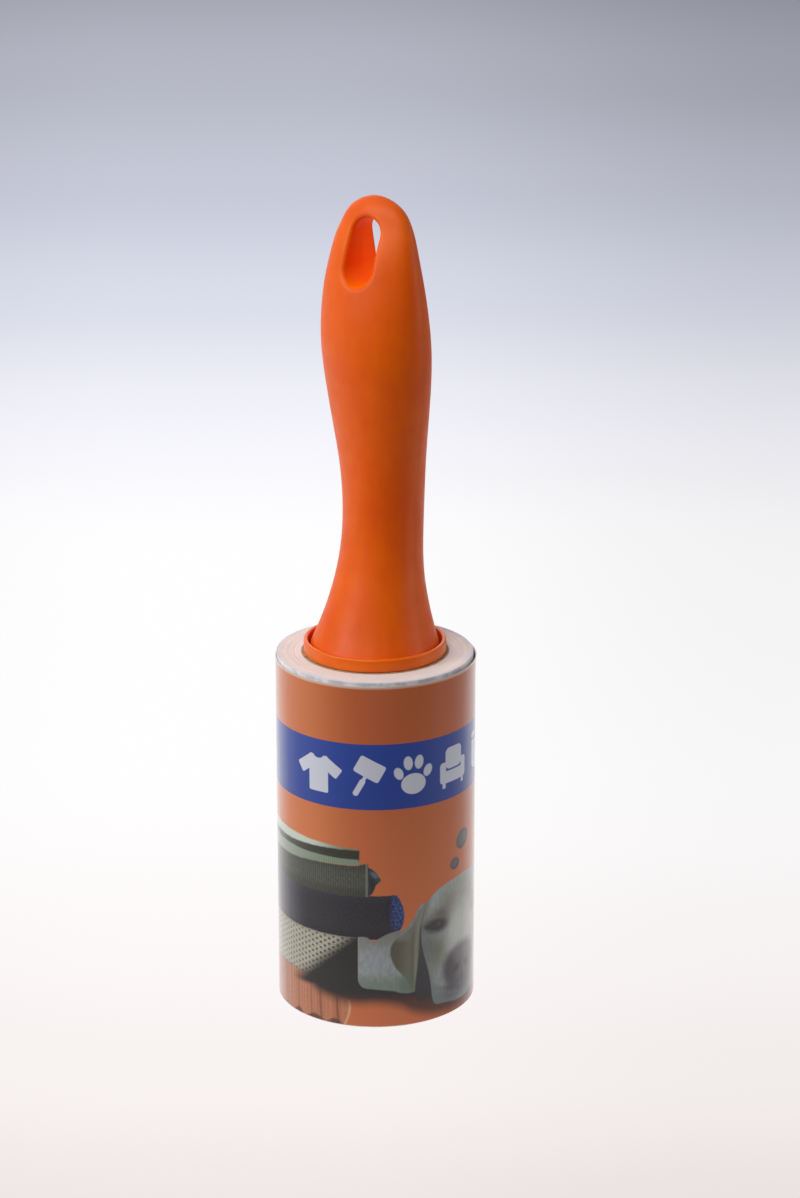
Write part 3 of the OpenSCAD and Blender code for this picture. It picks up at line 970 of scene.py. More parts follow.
def core_board():
    """Spiral-wound grey-brown board with a darker seam."""
    g = Graph("core_board_look")
    pos = g.coords()
    x, y, z = g.split(pos)
    plies = g.sin(g.calc("ARCTAN2", y, x) * 1.0 + z * 145.0)
    seam = g.fade(g.abs(plies), 0.05, 0.0)
    fibre = g.noise(g.stretch(pos, (1, 1, 0.3)), scale=900, detail=4, rough=0.65)
    color = g.paint((150, 118, 84),
                    (g.ramp(fibre, 0.3, 0.7), (188, 156, 118)),
                    (seam * 0.5, (112, 86, 58)))
    normal = g.bump(fibre + seam * -0.4, strength=0.35, distance=0.00015)
    return g.set(color=color, rough=0.86, normal=normal, spec=0.3)


def sheet_edges():
    """Cut edges of the wound sheets: rings of slightly different whites."""
    g = Graph("sheet_edge_look")
    pos = g.coords()
    x, y, _ = g.split(pos)
    r = g.length(g.join(x, y))
    wound = g.noise(g.join(r * 1.0, 0.0), scale=5200, detail=3, rough=0.75)
    slow = g.noise(g.join(r, 0.0), scale=900)
    patch = g.noise(pos, scale=130, detail=3)
    color = g.paint((244, 230, 222),
                    (g.fade(wound, 0.35, 0.7), (232, 216, 208)),
                    (g.fade(slow, 0.4, 0.62) * 0.45, (250, 240, 234)),
                    (g.fade(patch, 0.42, 0.7) * 0.40, (224, 216, 220)),
                    (g.fade(r + patch * 0.0012, 0.0266, 0.0274) * 0.6, (212, 212, 222)))
    height = wound * 0.7 + slow * 0.5 + g.noise(pos, scale=1500) * 0.4
    return g.set(color=color, rough=0.72, normal=g.bump(height, strength=0.45, distance=0.00008),
                 spec=0.35, sss=0.15, sss_radius=(0.001, 0.0008, 0.0006))


def sheet_face():
    """Glossy outer face of the first sheet, faintly blotched grey all over; the strong grey-blue
    blotches along its bare upper rim are painted shade.
    """
    g = Graph("sheet_face_look")
    pos = g.coords()
    blot = g.noise(pos, scale=260, detail=3, rough=0.55)
    fine = g.noise(pos, scale=900, detail=3, rough=0.6)
    # weight of the blotches: faint all over, full along the bare upper rim above the cover,
    # where they are painted shade
    bare_rim = 0.16 + g.fade(g.split(pos)[2], 0.0990, 0.1004) * 0.84
    color = g.paint((242, 240, 242),
                    (g.fade(blot, 0.38, 0.62) * bare_rim, (206, 206, 216)),
                    (g.fade(fine, 0.4, 0.7) * 0.12, (218, 216, 222)))
    height = g.noise(pos, scale=500, detail=3, rough=0.6) + blot * bare_rim
    return g.set(color=color, rough=g.ramp(blot, 0.3, 0.7, 0.28, 0.42),
                 normal=g.bump(height, strength=0.2, distance=0.0001),
                 coat=0.25, coat_rough=0.2)


# ---- Printed cover: drawn on the unrolled sheet, in mm, with s to the right and z up --------

class CoverGraph(Graph):
    def __init__(self):
        super().__init__("printed_cover_look")
        uv_map = self.node("UVMap", uv_map="sheet")
        self.pos = self.coords()
        self.sheet = self.stretch(uv_map.outputs[0], (100, 100, 100))
        self.s, self.z, _ = self.split(self.sheet)
        # coordinates with a slight waver, and the textures of cloth
        self.waver = (self.noise(self.sheet, scale=0.45, detail=3, rough=0.6) - 0.5) * 0.55
        self.wavy_s = self.s + self.waver
        self.wavy_z = self.z + self.waver * 0.8
        self.threads = self.noise(self.join(self.s * 3.0, self.z * 0.55), scale=1.7, detail=3,
                                  rough=0.7)
        self.weave = self.noise(self.join(self.s * 1.0, self.z * 1.0), scale=4.2, rough=0.6)

    def oval(self, s, z, half_s, half_z, turn=0.0, soft=0.16, vector=None):
        """Mask of an ellipse; soft is the width of its edge."""
        d = self.length(self.place(vector or self.sheet, (s, z, 0), turn,
                                   (half_s, half_z, 1.0)))
        edge = soft / min(half_s, half_z)
        return self.fade(d, 1 + edge, 1 - edge)

    def box(self, vector, x0, y0, x1, y1, radius):
        """Mask of a round-cornered rectangle."""
        x, y, _ = self.split(self.place(vector, ((x0 + x1) / 2, (y0 + y1) / 2, 0)))
        dx = self.max(self.abs(x) - ((x1 - x0) / 2 - radius), 0.0)
        dy = self.max(self.abs(y) - ((y1 - y0) / 2 - radius), 0.0)
        return self.fade(self.length(self.join(dx, dy)), radius + 0.12, radius - 0.12)

    def below(self, line, soft=0.2, s=None, z=None):
        """1 below a line of (s, z) points."""
        return self.fade(self.curve(s or self.s, line) - (z or self.z), -soft, soft)

    def right_of(self, line, soft=0.2, s=None):
        """1 to the right of a line of (z, s) points."""
        return self.fade((s or self.s) - self.curve(self.z, line), -soft, soft)

    def spots(self, colour, table, vector=None):
        """Soft ovals: s, z, half sizes, turn, softness, strength, colour."""
        for *shape, strength, spot in table:
            colour = self.mix(self.oval(*shape, vector=vector) * strength, colour, spot)
        return colour


def cover_ground(g):
    """Brown ground, darker at the foot and paler to the left, with the blue band; the paler left
    is painted light from the left.
    """
    s, z, fade = g.s, g.z, g.fade
    wide = g.noise(g.sheet, scale=0.018)
    band = fade(z, 64.85, 65.1) * fade(z, 84.1, 83.85)
    blue = g.mix(fade(z, 66.0, 83.0), (32, 66, 152), (38, 70, 158))
    return g.paint((192, 100, 58),
                   (fade(z, 92.0, 52.0), (196, 106, 61)),
                   (fade(wide, 0.4, 0.65) * 0.25, (186, 88, 44)),
                   (g.oval(2, 50, 30, 22, 0, 18) * 0.3, (200, 112, 68)),
                   # paler towards the left: painted light from the left
                   (fade(s, -4.0, -22.0) * fade(s, -60.0, -40.0) * 0.6, (214, 124, 72)),
                   (fade(z, 14.0, 4.0) * 0.5, (176, 92, 50)),
                   (band, blue),
                   (pictograms(g) * band, (206, 210, 224)))


def pictograms(g):
    """Plain shapes along the band, repeated every 87 mm round the sheet."""
    at = g.join(g.calc("WRAP", g.s, 60.0, -27.0), g.z)
    mid = 74.4                                              # height of the row

    def block(x0, z0, x1, z1, radius):
        return g.box(at, centre + x0, mid + z0, centre + x1, mid + z1, radius)

    def dot(x, z, half_s, half_z, turn=0.0):
        return g.oval(centre + x, mid + z, half_s, half_z, turn, vector=at)

    centre = -16.4                                          # shirt
    icon = block(-3.1, -5.6, 3.1, 5.0, 0.5)
    x, y, _ = g.split(g.place(at, (centre, mid + 3.0, 0)))
    arm = g.place(g.join(g.abs(x), y), (1.2, 0.9, 0), -0.62)
    icon = g.max(icon, g.box(arm, 0.0, -1.7, 6.4, 1.7, 0.5))
    icon = icon * (1.0 - dot(0, 5.4, 1.7, 1.3))

    centre = -2.8                                           # roller: head, handle, neck
    tilted = g.place(at, (centre, mid, 0), -0.5)
    for bounds in ((-3.9, 0.2, 3.9, 5.4, 0.7), (-0.8, -6.0, 0.8, -0.6, 0.75),
                   (-0.5, -1.4, 0.5, 0.6, 0.2)):
        icon = g.max(icon, g.box(tilted, *bounds))

    centre = 10.8                                           # paw: pad and four toes
    for shape in ((0, -2.4, 3.6, 3.0), (-4.3, 0.9, 1.25, 1.8, 0.4), (-1.6, 3.7, 1.3, 2.0, 0.12),
                  (1.6, 3.7, 1.3, 2.0, -0.12), (4.3, 0.9, 1.25, 1.8, -0.4)):
        icon = g.max(icon, dot(*shape))

    centre = 24.6                                           # armchair
    icon = g.max(icon, block(-3.4, -0.6, 3.4, 5.6, 1.6))
    seat = block(-5.4, -4.6, 5.4, 1.6, 1.1) * (1.0 - block(-3.2, -1.1, 3.2, 2.4, 0.3))
    icon = g.max(icon * (1.0 - block(-3.6, -1.5, 3.6, -0.9, 0.1)), seat)
    for leg in (-3.9, 3.9):
        icon = g.max(icon, block(leg - 0.55, -6.0, leg + 0.55, -4.4, 0.2))

    centre = 38.2                                           # sock
    icon = g.max(icon, block(-2.9, -2.6, 1.3, 5.6, 0.5)
                 * (1.0 - block(-3.4, 3.5, 1.8, 4.1, 0.1)))
    return g.max(icon, dot(1.1, -3.1, 4.1, 2.4, -0.12))


def navy_roll(g, col, left_end):
    """Navy cloth with a blue frayed end on its right."""
    s, z, fade = g.s, g.z, g.fade
    navy = g.paint((27, 28, 36),
                   (fade(g.threads, 0.35, 0.8), (46, 48, 60)),
                   (fade(z, 31.0, 27.2) * 0.55, (22, 20, 28)),
                   (fade(z, 36.6, 39.4) * 0.2, (64, 66, 80)),
                   (fade(s, -20.0, -30.0) * 0.28, (96, 100, 114)),
                   (fade(g.weave, 0.54, 0.72) * 0.35, (74, 78, 96)))
    mask = fade(g.wavy_z, 26.4, 26.9) * fade(g.wavy_z, 39.9, 39.4) \
        * fade(g.wavy_s, 6.0, 5.2) * left_end
    fray = g.place(g.join(s + g.waver * 2.2, z + g.waver * 2.2), (5.4, 34.3, 0), 0.10,
                   (2.5, 5.5, 1.0))
    tufts = g.noise(g.sheet, scale=1.5, detail=3, rough=0.75)
    blue = g.paint((26, 34, 66),
                   (fade(tufts, 0.40, 0.64), (58, 92, 160)),
                   (fade(s, 5.6, 3.4), (30, 32, 42)),
                   (fade(z, 31.5, 29.0) * 0.6, (26, 26, 38)))
    return g.paint(col, (mask, navy), (fade(g.length(fray), 1.05, 0.97), blue))


def grey_roll(g, col, left_end):
    """Grey-green ribbed cloth over a dark rolled end."""
    s, z, fade = g.s, g.z, g.fade
    rib = g.sin(s * 8.6 + g.waver * 4.0) * 0.5 + 0.5
    grey = g.paint((58, 62, 56),
                   (rib * 0.5, (92, 97, 88)),
                   (fade(g.threads, 0.45, 0.8) * 0.55, (122, 128, 116)),
                   (fade(g.weave, 0.40, 0.25) * 0.4, (38, 40, 38)),
                   (fade(z, 42.8, 40.2) * 0.5, (40, 41, 40)),
                   (fade(z, 45.6, 48.3) * 0.45, (46, 48, 44)),
                   (fade(g.abs(s + 2.35), 0.5, 0.1) * 0.5, (138, 142, 126)))
    top = [(-64, 48.6), (-30, 48.3), (-6, 48.4), (-4.2, 48.8), (-1.9, 49.3)]
    mask = fade(g.wavy_z, 39.1, 39.6) * g.below(top, 0.25, z=g.wavy_z) \
        * fade(g.wavy_s, -1.7, -2.1) * left_end
    end_edge = [(39.4, -2.2), (40.4, -0.9), (41.6, -0.2), (43.0, 0.3), (43.7, 1.1), (44.4, 1.6),
                (45.4, 1.0), (46.8, 0.1), (47.6, -0.9), (48.3, -2.2)]
    end_mask = g.right_of([(39.6, -3.0), (48.4, -3.0)]) \
        * (1.0 - g.right_of(end_edge, 0.25, s=g.wavy_s)) \
        * fade(z, 39.4, 39.8) * fade(z, 48.4, 48.0)
    end = g.mix(fade(g.weave, 0.45, 0.65), (34, 44, 48), (56, 72, 78))
    end = g.mix(g.oval(-0.2, 45.9, 1.2, 0.7, -0.7, 0.5), end, (84, 108, 124))
    end = g.spots(end, [(0.9, 44.3, 0.6, 0.7, 0, 0.4, 0.8, (52, 78, 70)),
                        (-0.9, 42.8, 0.7, 2.0, 0.2, 0.6, 0.7, (30, 34, 36))])
    return g.paint(col, (end_mask, end), (mask, grey))


def top_cloth(g, col, left_end, leftward):
    """Pale rim, dark fold and pale ribbed edge."""
    s, fade = g.s, g.fade
    wavy_s, wavy_z = g.wavy_s, g.wavy_z
    rim = g.mix(fade(s, -7.0, -20.0), (128, 128, 108), (196, 206, 192))
    rim = g.mix(fade(g.threads, 0.45, 0.8) * 0.25, rim, (150, 156, 134))
    rim_top = [(-64, 54.8), (-30, 54.5), (-20, 54.1), (-10, 53.6), (-4.8, 53.4)]
    rim_mask = g.below(rim_top, z=wavy_z) * fade(wavy_z, 51.2, 51.6) \
        * fade(wavy_s, -4.5, -5.0) * left_end
    fold = g.paint((40, 43, 38),
                   (fade(g.threads, 0.4, 0.8), (68, 74, 64)),
                   (leftward * 0.35, (92, 100, 96)))
    fold_mask = g.below([(-64, 51.9), (-30, 52.0), (-15, 52.7), (-4, 53.0)], 0.3, z=wavy_z) \
        * fade(wavy_z, 49.3, 49.7) * fade(wavy_s, -4.1, -4.6) * left_end
    rib = g.sin(s * 11.0 + g.waver * 3.0) * 0.5 + 0.5
    edge = g.paint((104, 118, 100),
                   (rib * (1.0 - leftward * 0.7), (142, 156, 136)),
                   (leftward * 0.6, (164, 176, 162)))
    edge_foot = [(-64, 46.6), (-30, 47.0), (-15, 48.1), (-4, 48.5)]
    edge_mask = g.below([(-64, 50.1), (-4, 50.3)], 0.25, z=wavy_z) \
        * (1.0 - g.below(edge_foot, 0.35, z=wavy_z)) * fade(wavy_s, -4.2, -4.7) * left_end
    return g.paint(col, (rim_mask, rim), (fold_mask, fold), (edge_mask, edge))


def terracotta_cloth(g, col, left_end):
    """Bottom cloth: streaked at the left, in round folds at the right."""
    s, z, fade = g.s, g.z, g.fade
    streak = g.sin(s * 5.2 + g.sin(s * 1.7) * 1.2) * 0.5 + 0.5
    cloth = g.paint((164, 102, 73),
                    (streak * 0.45, (192, 134, 106)),
                    (fade(g.threads, 0.45, 0.8) * 0.5, (212, 160, 134)),
                    (fade(s, -22.0, -8.0) * 0.55, (174, 104, 70)))
    # folds: s, darkness
    for fold, dark in ((-10.9, 0.9), (-16.3, 0.75), (-19.6, 0.35), (-24.6, 0.3), (-31.0, 0.4),
                       (-38.0, 0.5), (-46.0, 0.5), (-55.0, 0.5)):
        bend = g.max(6.0 - z, 0.0)
        off = g.abs(s - fold - bend * bend * 0.012 + (z - 5.0) * 0.02)
        cloth = g.paint(cloth, (fade(off, 0.5, 0.05) * dark * 0.8, (84, 46, 34)),
                        (fade(off, 1.9, 0.3) * dark * 0.4, (124, 68, 46)))
    right_edge = [(0.0, -8.9), (2.0, -7.9), (5.0, -7.2), (7.5, -7.4), (10.0, -9.2),
                  (13.5, -12.0)]
    mask = fade(z, 13.9, 13.3) * left_end * (1.0 - g.right_of(right_edge, 0.25, s=g.wavy_s))
    rim_line = [(0.0, -9.1), (2.0, -8.1), (5.0, -7.3), (7.5, -7.4), (10.0, -9.2)]
    rim = g.abs(g.wavy_s - g.curve(z, rim_line))
    col = g.paint(col, (mask, cloth),
                  (fade(rim, 0.55, 0.1) * fade(z, 9.0, 7.5) * 0.55, (214, 176, 140)))
    # dark nooks between the folds' feet: s, spread
    for nook, spread in ((-11.7, 2.0), (-18.0, 2.6), (-24.6, 1.6)):
        inside = g.abs(s - nook) - g.max(2.3 - z, 0.0) * spread * 0.7
        col = g.mix(fade(inside, 0.7, -0.5) * fade(z, 2.8, 1.3) * 0.8, col, (62, 38, 36))
    return col


def knitted_cloth(g, col, left_end, leftward):
    """Pale knit with staggered open dots."""
    z, fade = g.z, g.fade
    x, y, _ = g.split(g.place(g.sheet, (0.2, 0.1, 0), 0.0, (2.70, 1.60, 1.0)))

    def to_dot(offset):
        fx = g.calc("FRACT", x + (40.0 + offset)) - 0.5
        fy = g.calc("FRACT", y + (40.0 + offset)) - 0.5
        return g.length(g.join(fx * 2.35, fy * 1.60))

    dots = fade(g.min(to_dot(0.0), to_dot(0.5)) + g.waver * 0.3, 0.54, 0.20)
    knit = g.paint((148, 147, 132),
                   (fade(g.threads, 0.35, 0.75), (190, 188, 172)),
                   (dots * (0.92 - leftward * 0.35), (60, 58, 54)),
                   (fade(z, 14.4, 13.2) * 0.55, (84, 70, 60)),
                   (fade(z, 25.6, 27.2) * 0.5, (120, 120, 108)))
    mask = fade(g.wavy_z, 12.9, 13.5) * fade(g.wavy_z, 27.3, 26.8) * fade(g.s, -4.4, -5.0) \
        * left_end
    return g.mix(mask, col, knit)


def folded_cloths(g, col):
    """The stack of cloths at the left, each with its own fold at the far left end."""
    leftward = g.fade(g.s, -12.0, -30.0)
    left_end = g.right_of([
        (0, -65.0), (3, -68.0), (8, -69.5), (12.6, -67.5), (13.6, -64.5), (16, -67.5),
        (21, -69), (26.2, -66.5), (27.4, -65.5), (30, -70), (34, -71.5), (38.4, -69),
        (39.8, -64.0), (42, -66.5), (45, -67.5), (48.6, -64.5), (50.4, -62.5), (52.5, -64),
        (54.8, -62)], 0.25)
    col = navy_roll(g, col, left_end)
    col = grey_roll(g, col, left_end)
    col = top_cloth(g, col, left_end, leftward)
    col = terracotta_cloth(g, col, left_end)
    return knitted_cloth(g, col, left_end, leftward)


def ground_shadow(g, col):
    """Soft dark shadow over the cloths' lower right and under the dog."""
    s, z, fade = g.s, g.z, g.fade
    slant = (s - ((z - 15.0) * 1.1 - 20.6)) * 0.7
    on_cloths = fade(slant, -2.6, 2.4) * fade(z, 27.4, 26.8) * fade(s, -4.6, -5.0) \
        * fade(z, 9.5, 11.5)
    lower = g.curve(s, [(-40, 15.0), (-26, 14.0), (-22, 11.6), (-18, 8.2), (-12, 6.4),
                        (-6, 5.6), (0, 6.0), (6, 5.0), (11, 2.4), (16, 0.8), (22, -0.2),
                        (30, -0.6), (50, 0.4), (62, 8.0)])
    under_dog = fade(z - lower, -0.8, 3.8) * fade(z, 16.5, 14.0) * fade(s, -27.0, -18.0) \
        * fade(s, 60.0, 50.0)
    shade = g.mix(fade(z, 6.0, 11.0), (80, 42, 30), (26, 25, 31))
    return g.mix(g.min(g.max(on_cloths, under_dog) * 1.02, 1.0), col, shade)


def dog_body(g, col, fur, fine):
    """Neck, cut off straight on its left, with the ear hanging over it."""
    s, z, fade = g.s, g.z, g.fade
    back_line = [(-4.8, 27.3), (-2.4, 27.3), (-1.4, 26.6), (-0.3, 26.2), (1.0, 27.0),
                 (4.0, 28.5), (7.6, 29.3), (9.2, 30.2), (11.0, 32.6), (12.4, 35.2),
                 (13.3, 36.0), (15.5, 36.0)]
    belly_line = [(-4.8, 14.0), (-4.2, 12.9), (-3.2, 12.1), (0, 11.7), (5.0, 11.0),
                  (7.5, 10.2), (10.5, 10.0), (12.0, 11.0)]
    mask = g.below(back_line, 0.22) * (1.0 - g.below(belly_line, 0.3)) \
        * fade(s, -4.95, -4.7) * fade(s, 15.6, 14.8)
    coat = g.paint((126, 136, 136),
                   (fade(fur, 0.35, 0.65), (144, 151, 151)),
                   (fade(z, 17.5, 13.0) * 0.6, (84, 104, 90)))
    coat = g.spots(coat, [(2.5, 28.5, 8.0, 3.6, 0.3, 2.8, 0.7, (112, 110, 96)),
                          (0.3, 20.6, 2.8, 3.4, 0, 2.6, 0.35, (146, 148, 166))])
    # olive patch behind, with the flap hanging in front of it
    ear = g.right_of([(9.0, 10.6), (13.6, 9.0), (15.5, 7.6), (17.2, 6.2), (19.5, 4.9),
                      (23.0, 4.1), (26.0, 5.2), (28.0, 8.2), (30.0, 10.2), (33.5, 12.2),
                      (36.0, 14.0)], 0.35)
    ear = g.min(ear, g.max(fade(z, 28.5, 25.0), fade(s, 5.5, 10.5)))
    flap = g.abs(s - g.curve(z, [(9.6, 10.6), (14.0, 11.4), (20.0, 11.5), (25.0, 11.7),
                                 (30.0, 12.4), (34.0, 13.4), (36.0, 14.2)]))
    green = g.oval(8.8, 12.6, 2.1, 2.9, 0.0, 0.9)
    ear_colour = g.paint((80, 76, 62),
                         (fade(s, 5.0, 11.5), (108, 108, 94)),
                         (fade(z, 25.0, 33.0) * 0.75, (124, 128, 116)),
                         (fade(z, 18.5, 14.0) * 0.6, (96, 108, 90)),
                         (fade(fine, 0.45, 0.75) * 0.15, (140, 140, 124)),
                         (fade(flap, 0.8, 0.1) * 0.5, (136, 140, 130)),
                         (fade(flap - 1.2, 0.9, 0.0) * fade(s, 11.6, 10.4) * 0.35,
                          (72, 70, 58)),
                         (green * 0.5, (84, 102, 84)))
    coat = g.paint(coat, (ear, ear_colour), (green * 0.55, (84, 102, 84)))
    return g.mix(mask, col, coat)


# spots on the half face: s, z, half sizes, turn, softness, strength, colour
FUR_SPOTS = [
    (18.0, 38.2, 6.0, 2.6, 0.5, 2.4, 0.5, (142, 158, 166)),
    (27.0, 37.0, 5.0, 4.5, 0.0, 4.0, 0.45, (140, 138, 128)),
    (22.3, 32.5, 3.0, 4.2, 0.2, 2.8, 0.75, (112, 108, 86)),
    (20.0, 31.6, 3.2, 1.5, -0.35, 1.6, 0.75, (78, 74, 66)),
    (16.0, 31.5, 1.8, 2.4, 0.4, 1.6, 0.4, (118, 116, 102)),
    (26.0, 26.0, 4.6, 6.0, 0.0, 3.6, 0.6, (196, 200, 194)),
    (15.6, 23.0, 3.0, 6.5, 0.2, 2.6, 0.8, (84, 92, 94)),
    (18.8, 20.6, 2.8, 5.0, -0.25, 2.8, 0.8, (100, 104, 84)),
    (18.0, 9.5, 2.4, 5.6, 0.1, 2.2, 0.7, (96, 108, 110))]
EYE_SPOTS = [                                               # half closed
    (18.2, 28.7, 4.2, 2.7, -0.06, 1.6, 0.8, (66, 62, 66)),
    (18.4, 28.6, 3.4, 1.75, -0.12, 0.9, 0.92, (40, 38, 48)),
    (15.2, 28.6, 1.2, 0.7, -0.2, 0.5, 0.8, (42, 40, 44)),
    (18.9, 28.9, 0.62, 0.42, 0.0, 0.4, 0.35, (104, 104, 124)),
    (18.2, 31.0, 3.2, 0.42, -0.12, 0.6, 0.35, (126, 120, 104)),
    (18.0, 25.6, 2.8, 0.5, -0.1, 0.8, 0.35, (138, 144, 142))]
NOSE_SPOTS = [                                              # nose and mouth
    (27.4, 13.8, 6.9, 6.4, 0.0, 1.8, 0.9, (82, 78, 84)),
    (23.4, 13.4, 2.8, 4.6, 0.15, 1.8, 0.75, (56, 53, 61)),
    (29.0, 17.6, 3.6, 1.7, 0.0, 1.4, 0.5, (116, 112, 120)),
    (26.3, 13.2, 1.5, 1.1, 0.3, 0.8, 0.8, (34, 32, 38)),
    (29.0, 9.6, 0.35, 3.0, 0.0, 0.5, 0.7, (44, 42, 48)),
    (25.0, 7.0, 5.4, 3.4, 0.1, 2.0, 0.7, (60, 60, 74)),
    (24.4, 7.8, 5.0, 0.5, -0.28, 0.7, 0.5, (40, 40, 50))]


def dog_head(g, col, fur, fine):
    """The face, alike on both sides of s = 29, with the dark gap and second ear round it."""
    s, z, fade = g.s, g.z, g.fade
    half = 29.0 - g.abs(s - 29.0)
    # gap between ear and face, widening downwards
    gap_edge = g.curve(z, [(0, 12.6), (5, 12.4), (8, 11.6), (10, 11.2), (14, 11.5), (18, 12.0),
                           (24, 12.5), (28, 12.7), (31, 13.4), (35, 14.9)])
    gap = fade(half - gap_edge, -0.35, 0.35) * fade(z, 35.0, 33.0) * fade(z, 4.4, 9.4) \
        * fade(half, 20.0, 19.0)
    gap_colour = g.paint((44, 47, 56),
                         (fade(z, 13.0, 26.0), (64, 66, 62)),
                         (fade(z, 12.0, 7.0) * 0.8, (38, 34, 38)))
    far_ear = fade(s, 44.0, 45.0) * g.oval(49.0, 22.5, 6.2, 13.2, 0.22, 0.5)
    ear_colour = g.mix(fade(s, 54.0, 47.0), (80, 76, 62), (120, 120, 104))

    cheek = half - g.curve(z, [
        (4.2, 19.0), (5.0, 17.6), (6.6, 16.8), (9.0, 16.45), (12.0, 16.1), (15.0, 15.5),
        (18.0, 14.7), (22.0, 13.7), (26.0, 13.1), (29.5, 13.2), (32.5, 13.9), (36.0, 15.2)])
    crown = [(13.0, 34.2), (15.0, 36.1), (17.0, 38.0), (19.0, 39.2), (22.0, 40.1),
             (26.0, 40.7), (29.0, 40.9), (30, 40.9)]
    chin = g.curve(half, [(16.0, 6.2), (18.0, 4.6), (21.0, 4.3), (25.0, 3.6), (29.0, 3.2),
                          (30, 3.2)])
    head = fade(cheek, -0.16, 0.22) * g.below(crown, 0.3, s=half) * fade(z - chin, -0.3, 0.5)
    face = g.join(half, z)
    coat = g.mix(fade(fur, 0.35, 0.65), (152, 160, 156), (170, 176, 172))
    coat = g.spots(coat, FUR_SPOTS, face)
    coat = g.paint(coat, (fade(cheek, 1.8, 0.1) * 0.45, (82, 92, 92)),
                   (fade(z, 12.0, 4.4) * 0.5, (70, 82, 88)))
    coat = g.spots(coat, EYE_SPOTS + NOSE_SPOTS, face)
    coat = g.mix(fade(fine, 0.4, 0.75) * 0.10, coat, (186, 188, 182))
    return g.paint(col, (far_ear, ear_colour), (gap, gap_colour), (head, coat))


def rising_ovals(g, col):
    """Two slate ovals above the head."""
    for s, z, half_s, half_z, turn in ((25.3, 45.0, 2.05, 1.75, 0.0),
                                       (29.0, 51.3, 3.2, 2.7, 0.5)):
        core = g.oval(s - 0.3, z + 0.2, half_s * 0.8, half_z * 0.8, turn, 1.2)
        col = g.mix(g.oval(s, z, half_s, half_z, turn, 0.3) * 0.92, col,
                    g.mix(core, (50, 60, 66), (78, 96, 104)))
    return col


def printed_cover():
    """The picture under a glossy coat, paler along both rims, with a dull inner face."""
    g = CoverGraph()
    s, z, pos = g.s, g.z, g.pos
    col = folded_cloths(g, cover_ground(g))
    col = ground_shadow(g, col)
    fur = g.noise(g.join(s * 1.0, z * 0.35), scale=1.1, detail=4, rough=0.6)
    fine = g.noise(g.join(s * 0.6, z * 1.8), scale=2.2, detail=3, rough=0.6)
    col = dog_body(g, col, fur, fine)
    col = dog_head(g, col, fur, fine)
    col = rising_ovals(g, col)

    grain = g.noise(g.sheet, scale=6.5, rough=0.6)
    rim = g.max(g.fade(z, 0.7, 0.2), g.fade(z, 99.6, 100.08))
    # the inner face looks towards the axis; the normal is in the cover's own space
    x, y, _ = g.split(pos)
    nx, ny, _ = g.split(g.coords("Normal"))
    cx, cy = (c * MM for c in COVER_CENTRE)
    radius = g.length(g.join(x - cx, y - cy))
    inner = g.fade((nx * (x - cx) + ny * (y - cy)) / radius, 0.2, -0.2)
    fibre = g.noise(pos, scale=1400, detail=3, rough=0.6)
    col = g.paint(col, (g.fade(grain, 0.4, 0.75) * 0.07, (255, 235, 215)),
                  (rim * 0.55, (232, 216, 204)),
                  (inner, g.mix(fibre, (232, 228, 220), (214, 208, 198))))
    height = g.noise(pos, scale=70) * 1.2 \
        + g.noise(g.stretch(pos, (1, 1, 0.35)), scale=260, detail=3, rough=0.55) * 0.35
    wavy = g.bump(height, strength=0.22, distance=0.0005)
    facing = g.value("LayerWeight", {0: 0.5}, "Facing")
    return g.set(color=col, rough=0.42,
                 normal=g.bump(grain, strength=0.1, distance=0.00003, Normal=wavy),
                 coat=g.ramp(facing, 0.40, 0.82, 0.22, 1.0) * (1.0 - inner),
                 coat_rough=0.07, coat_ior=1.8, coat_normal=wavy,
                 spec=g.ramp(facing, 0.55, 0.90, 0.10, 1.0) * (1.0 - inner))


# ---- Build the pieces and dress them ----------------------------------------------------------

grip_front = grip_piece("grip_front_half", back=False)
grip_back = grip_piece("grip_back_half", back=True)
pins = locating_pins()
axle = axle_stem()
sleeve = spindle_sleeve()
cap = end_cap()
core = core_tube()
sheets = wound_sheets()
lead = first_sheet()
cover = cover_sheet()

grip_look = orange_plastic("grip_plastic_look", base=(242, 102, 6), deep=(232, 89, 3),
                           rough=0.42, grain=1.0, slot=True)
axle_look = orange_plastic("axle_plastic_look", base=(228, 90, 22), deep=(212, 76, 12),
                           rough=0.38, grain=0.5)
spindle_look = orange_plastic("spindle_plastic_look", base=(244, 112, 10), deep=(234, 100, 6),
                              rough=0.34, grain=0.5, coat=0.15)

# piece, material, body it rides, slot, node it replaces
for piece, look, body, slot, node in (
        (grip_front, grip_look, "handle", "grip_plastic", "grip_shell_front"),
        (grip_back, grip_look, "handle", "grip_plastic", "grip_shell_back"),
        (pins, grip_look, "handle", "grip_plastic", "grip_shell_front"),
        (axle, axle_look, "handle", "axle_plastic", "axle_stem"),
        (sleeve, spindle_look, "spindle", "spindle_plastic", "spindle_sleeve"),
        (cap, spindle_look, "spindle", "spindle_plastic", "spindle_end_cap"),
        (core, core_board(), "refill_roll", "core_board", "paper_core"),
        (sheets, sheet_edges(), "refill_roll", "sheet_edge", "adhesive_sheets"),
        (lead, sheet_face(), "refill_roll", "sheet_face", "lead_sheet"),
        (cover, printed_cover(), "printed_cover", "printed_paper", "cover_wrap")):
    piece.data.materials.clear()
    piece.data.materials.append(look)
    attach(piece, body)
    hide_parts(node)


# ---- Stage, in metres: pale floor, soft lights, camera ---------------------------------------

scene = bpy.context.scene
scene.view_settings.view_transform = "Standard"
scene.view_settings.look = "None"


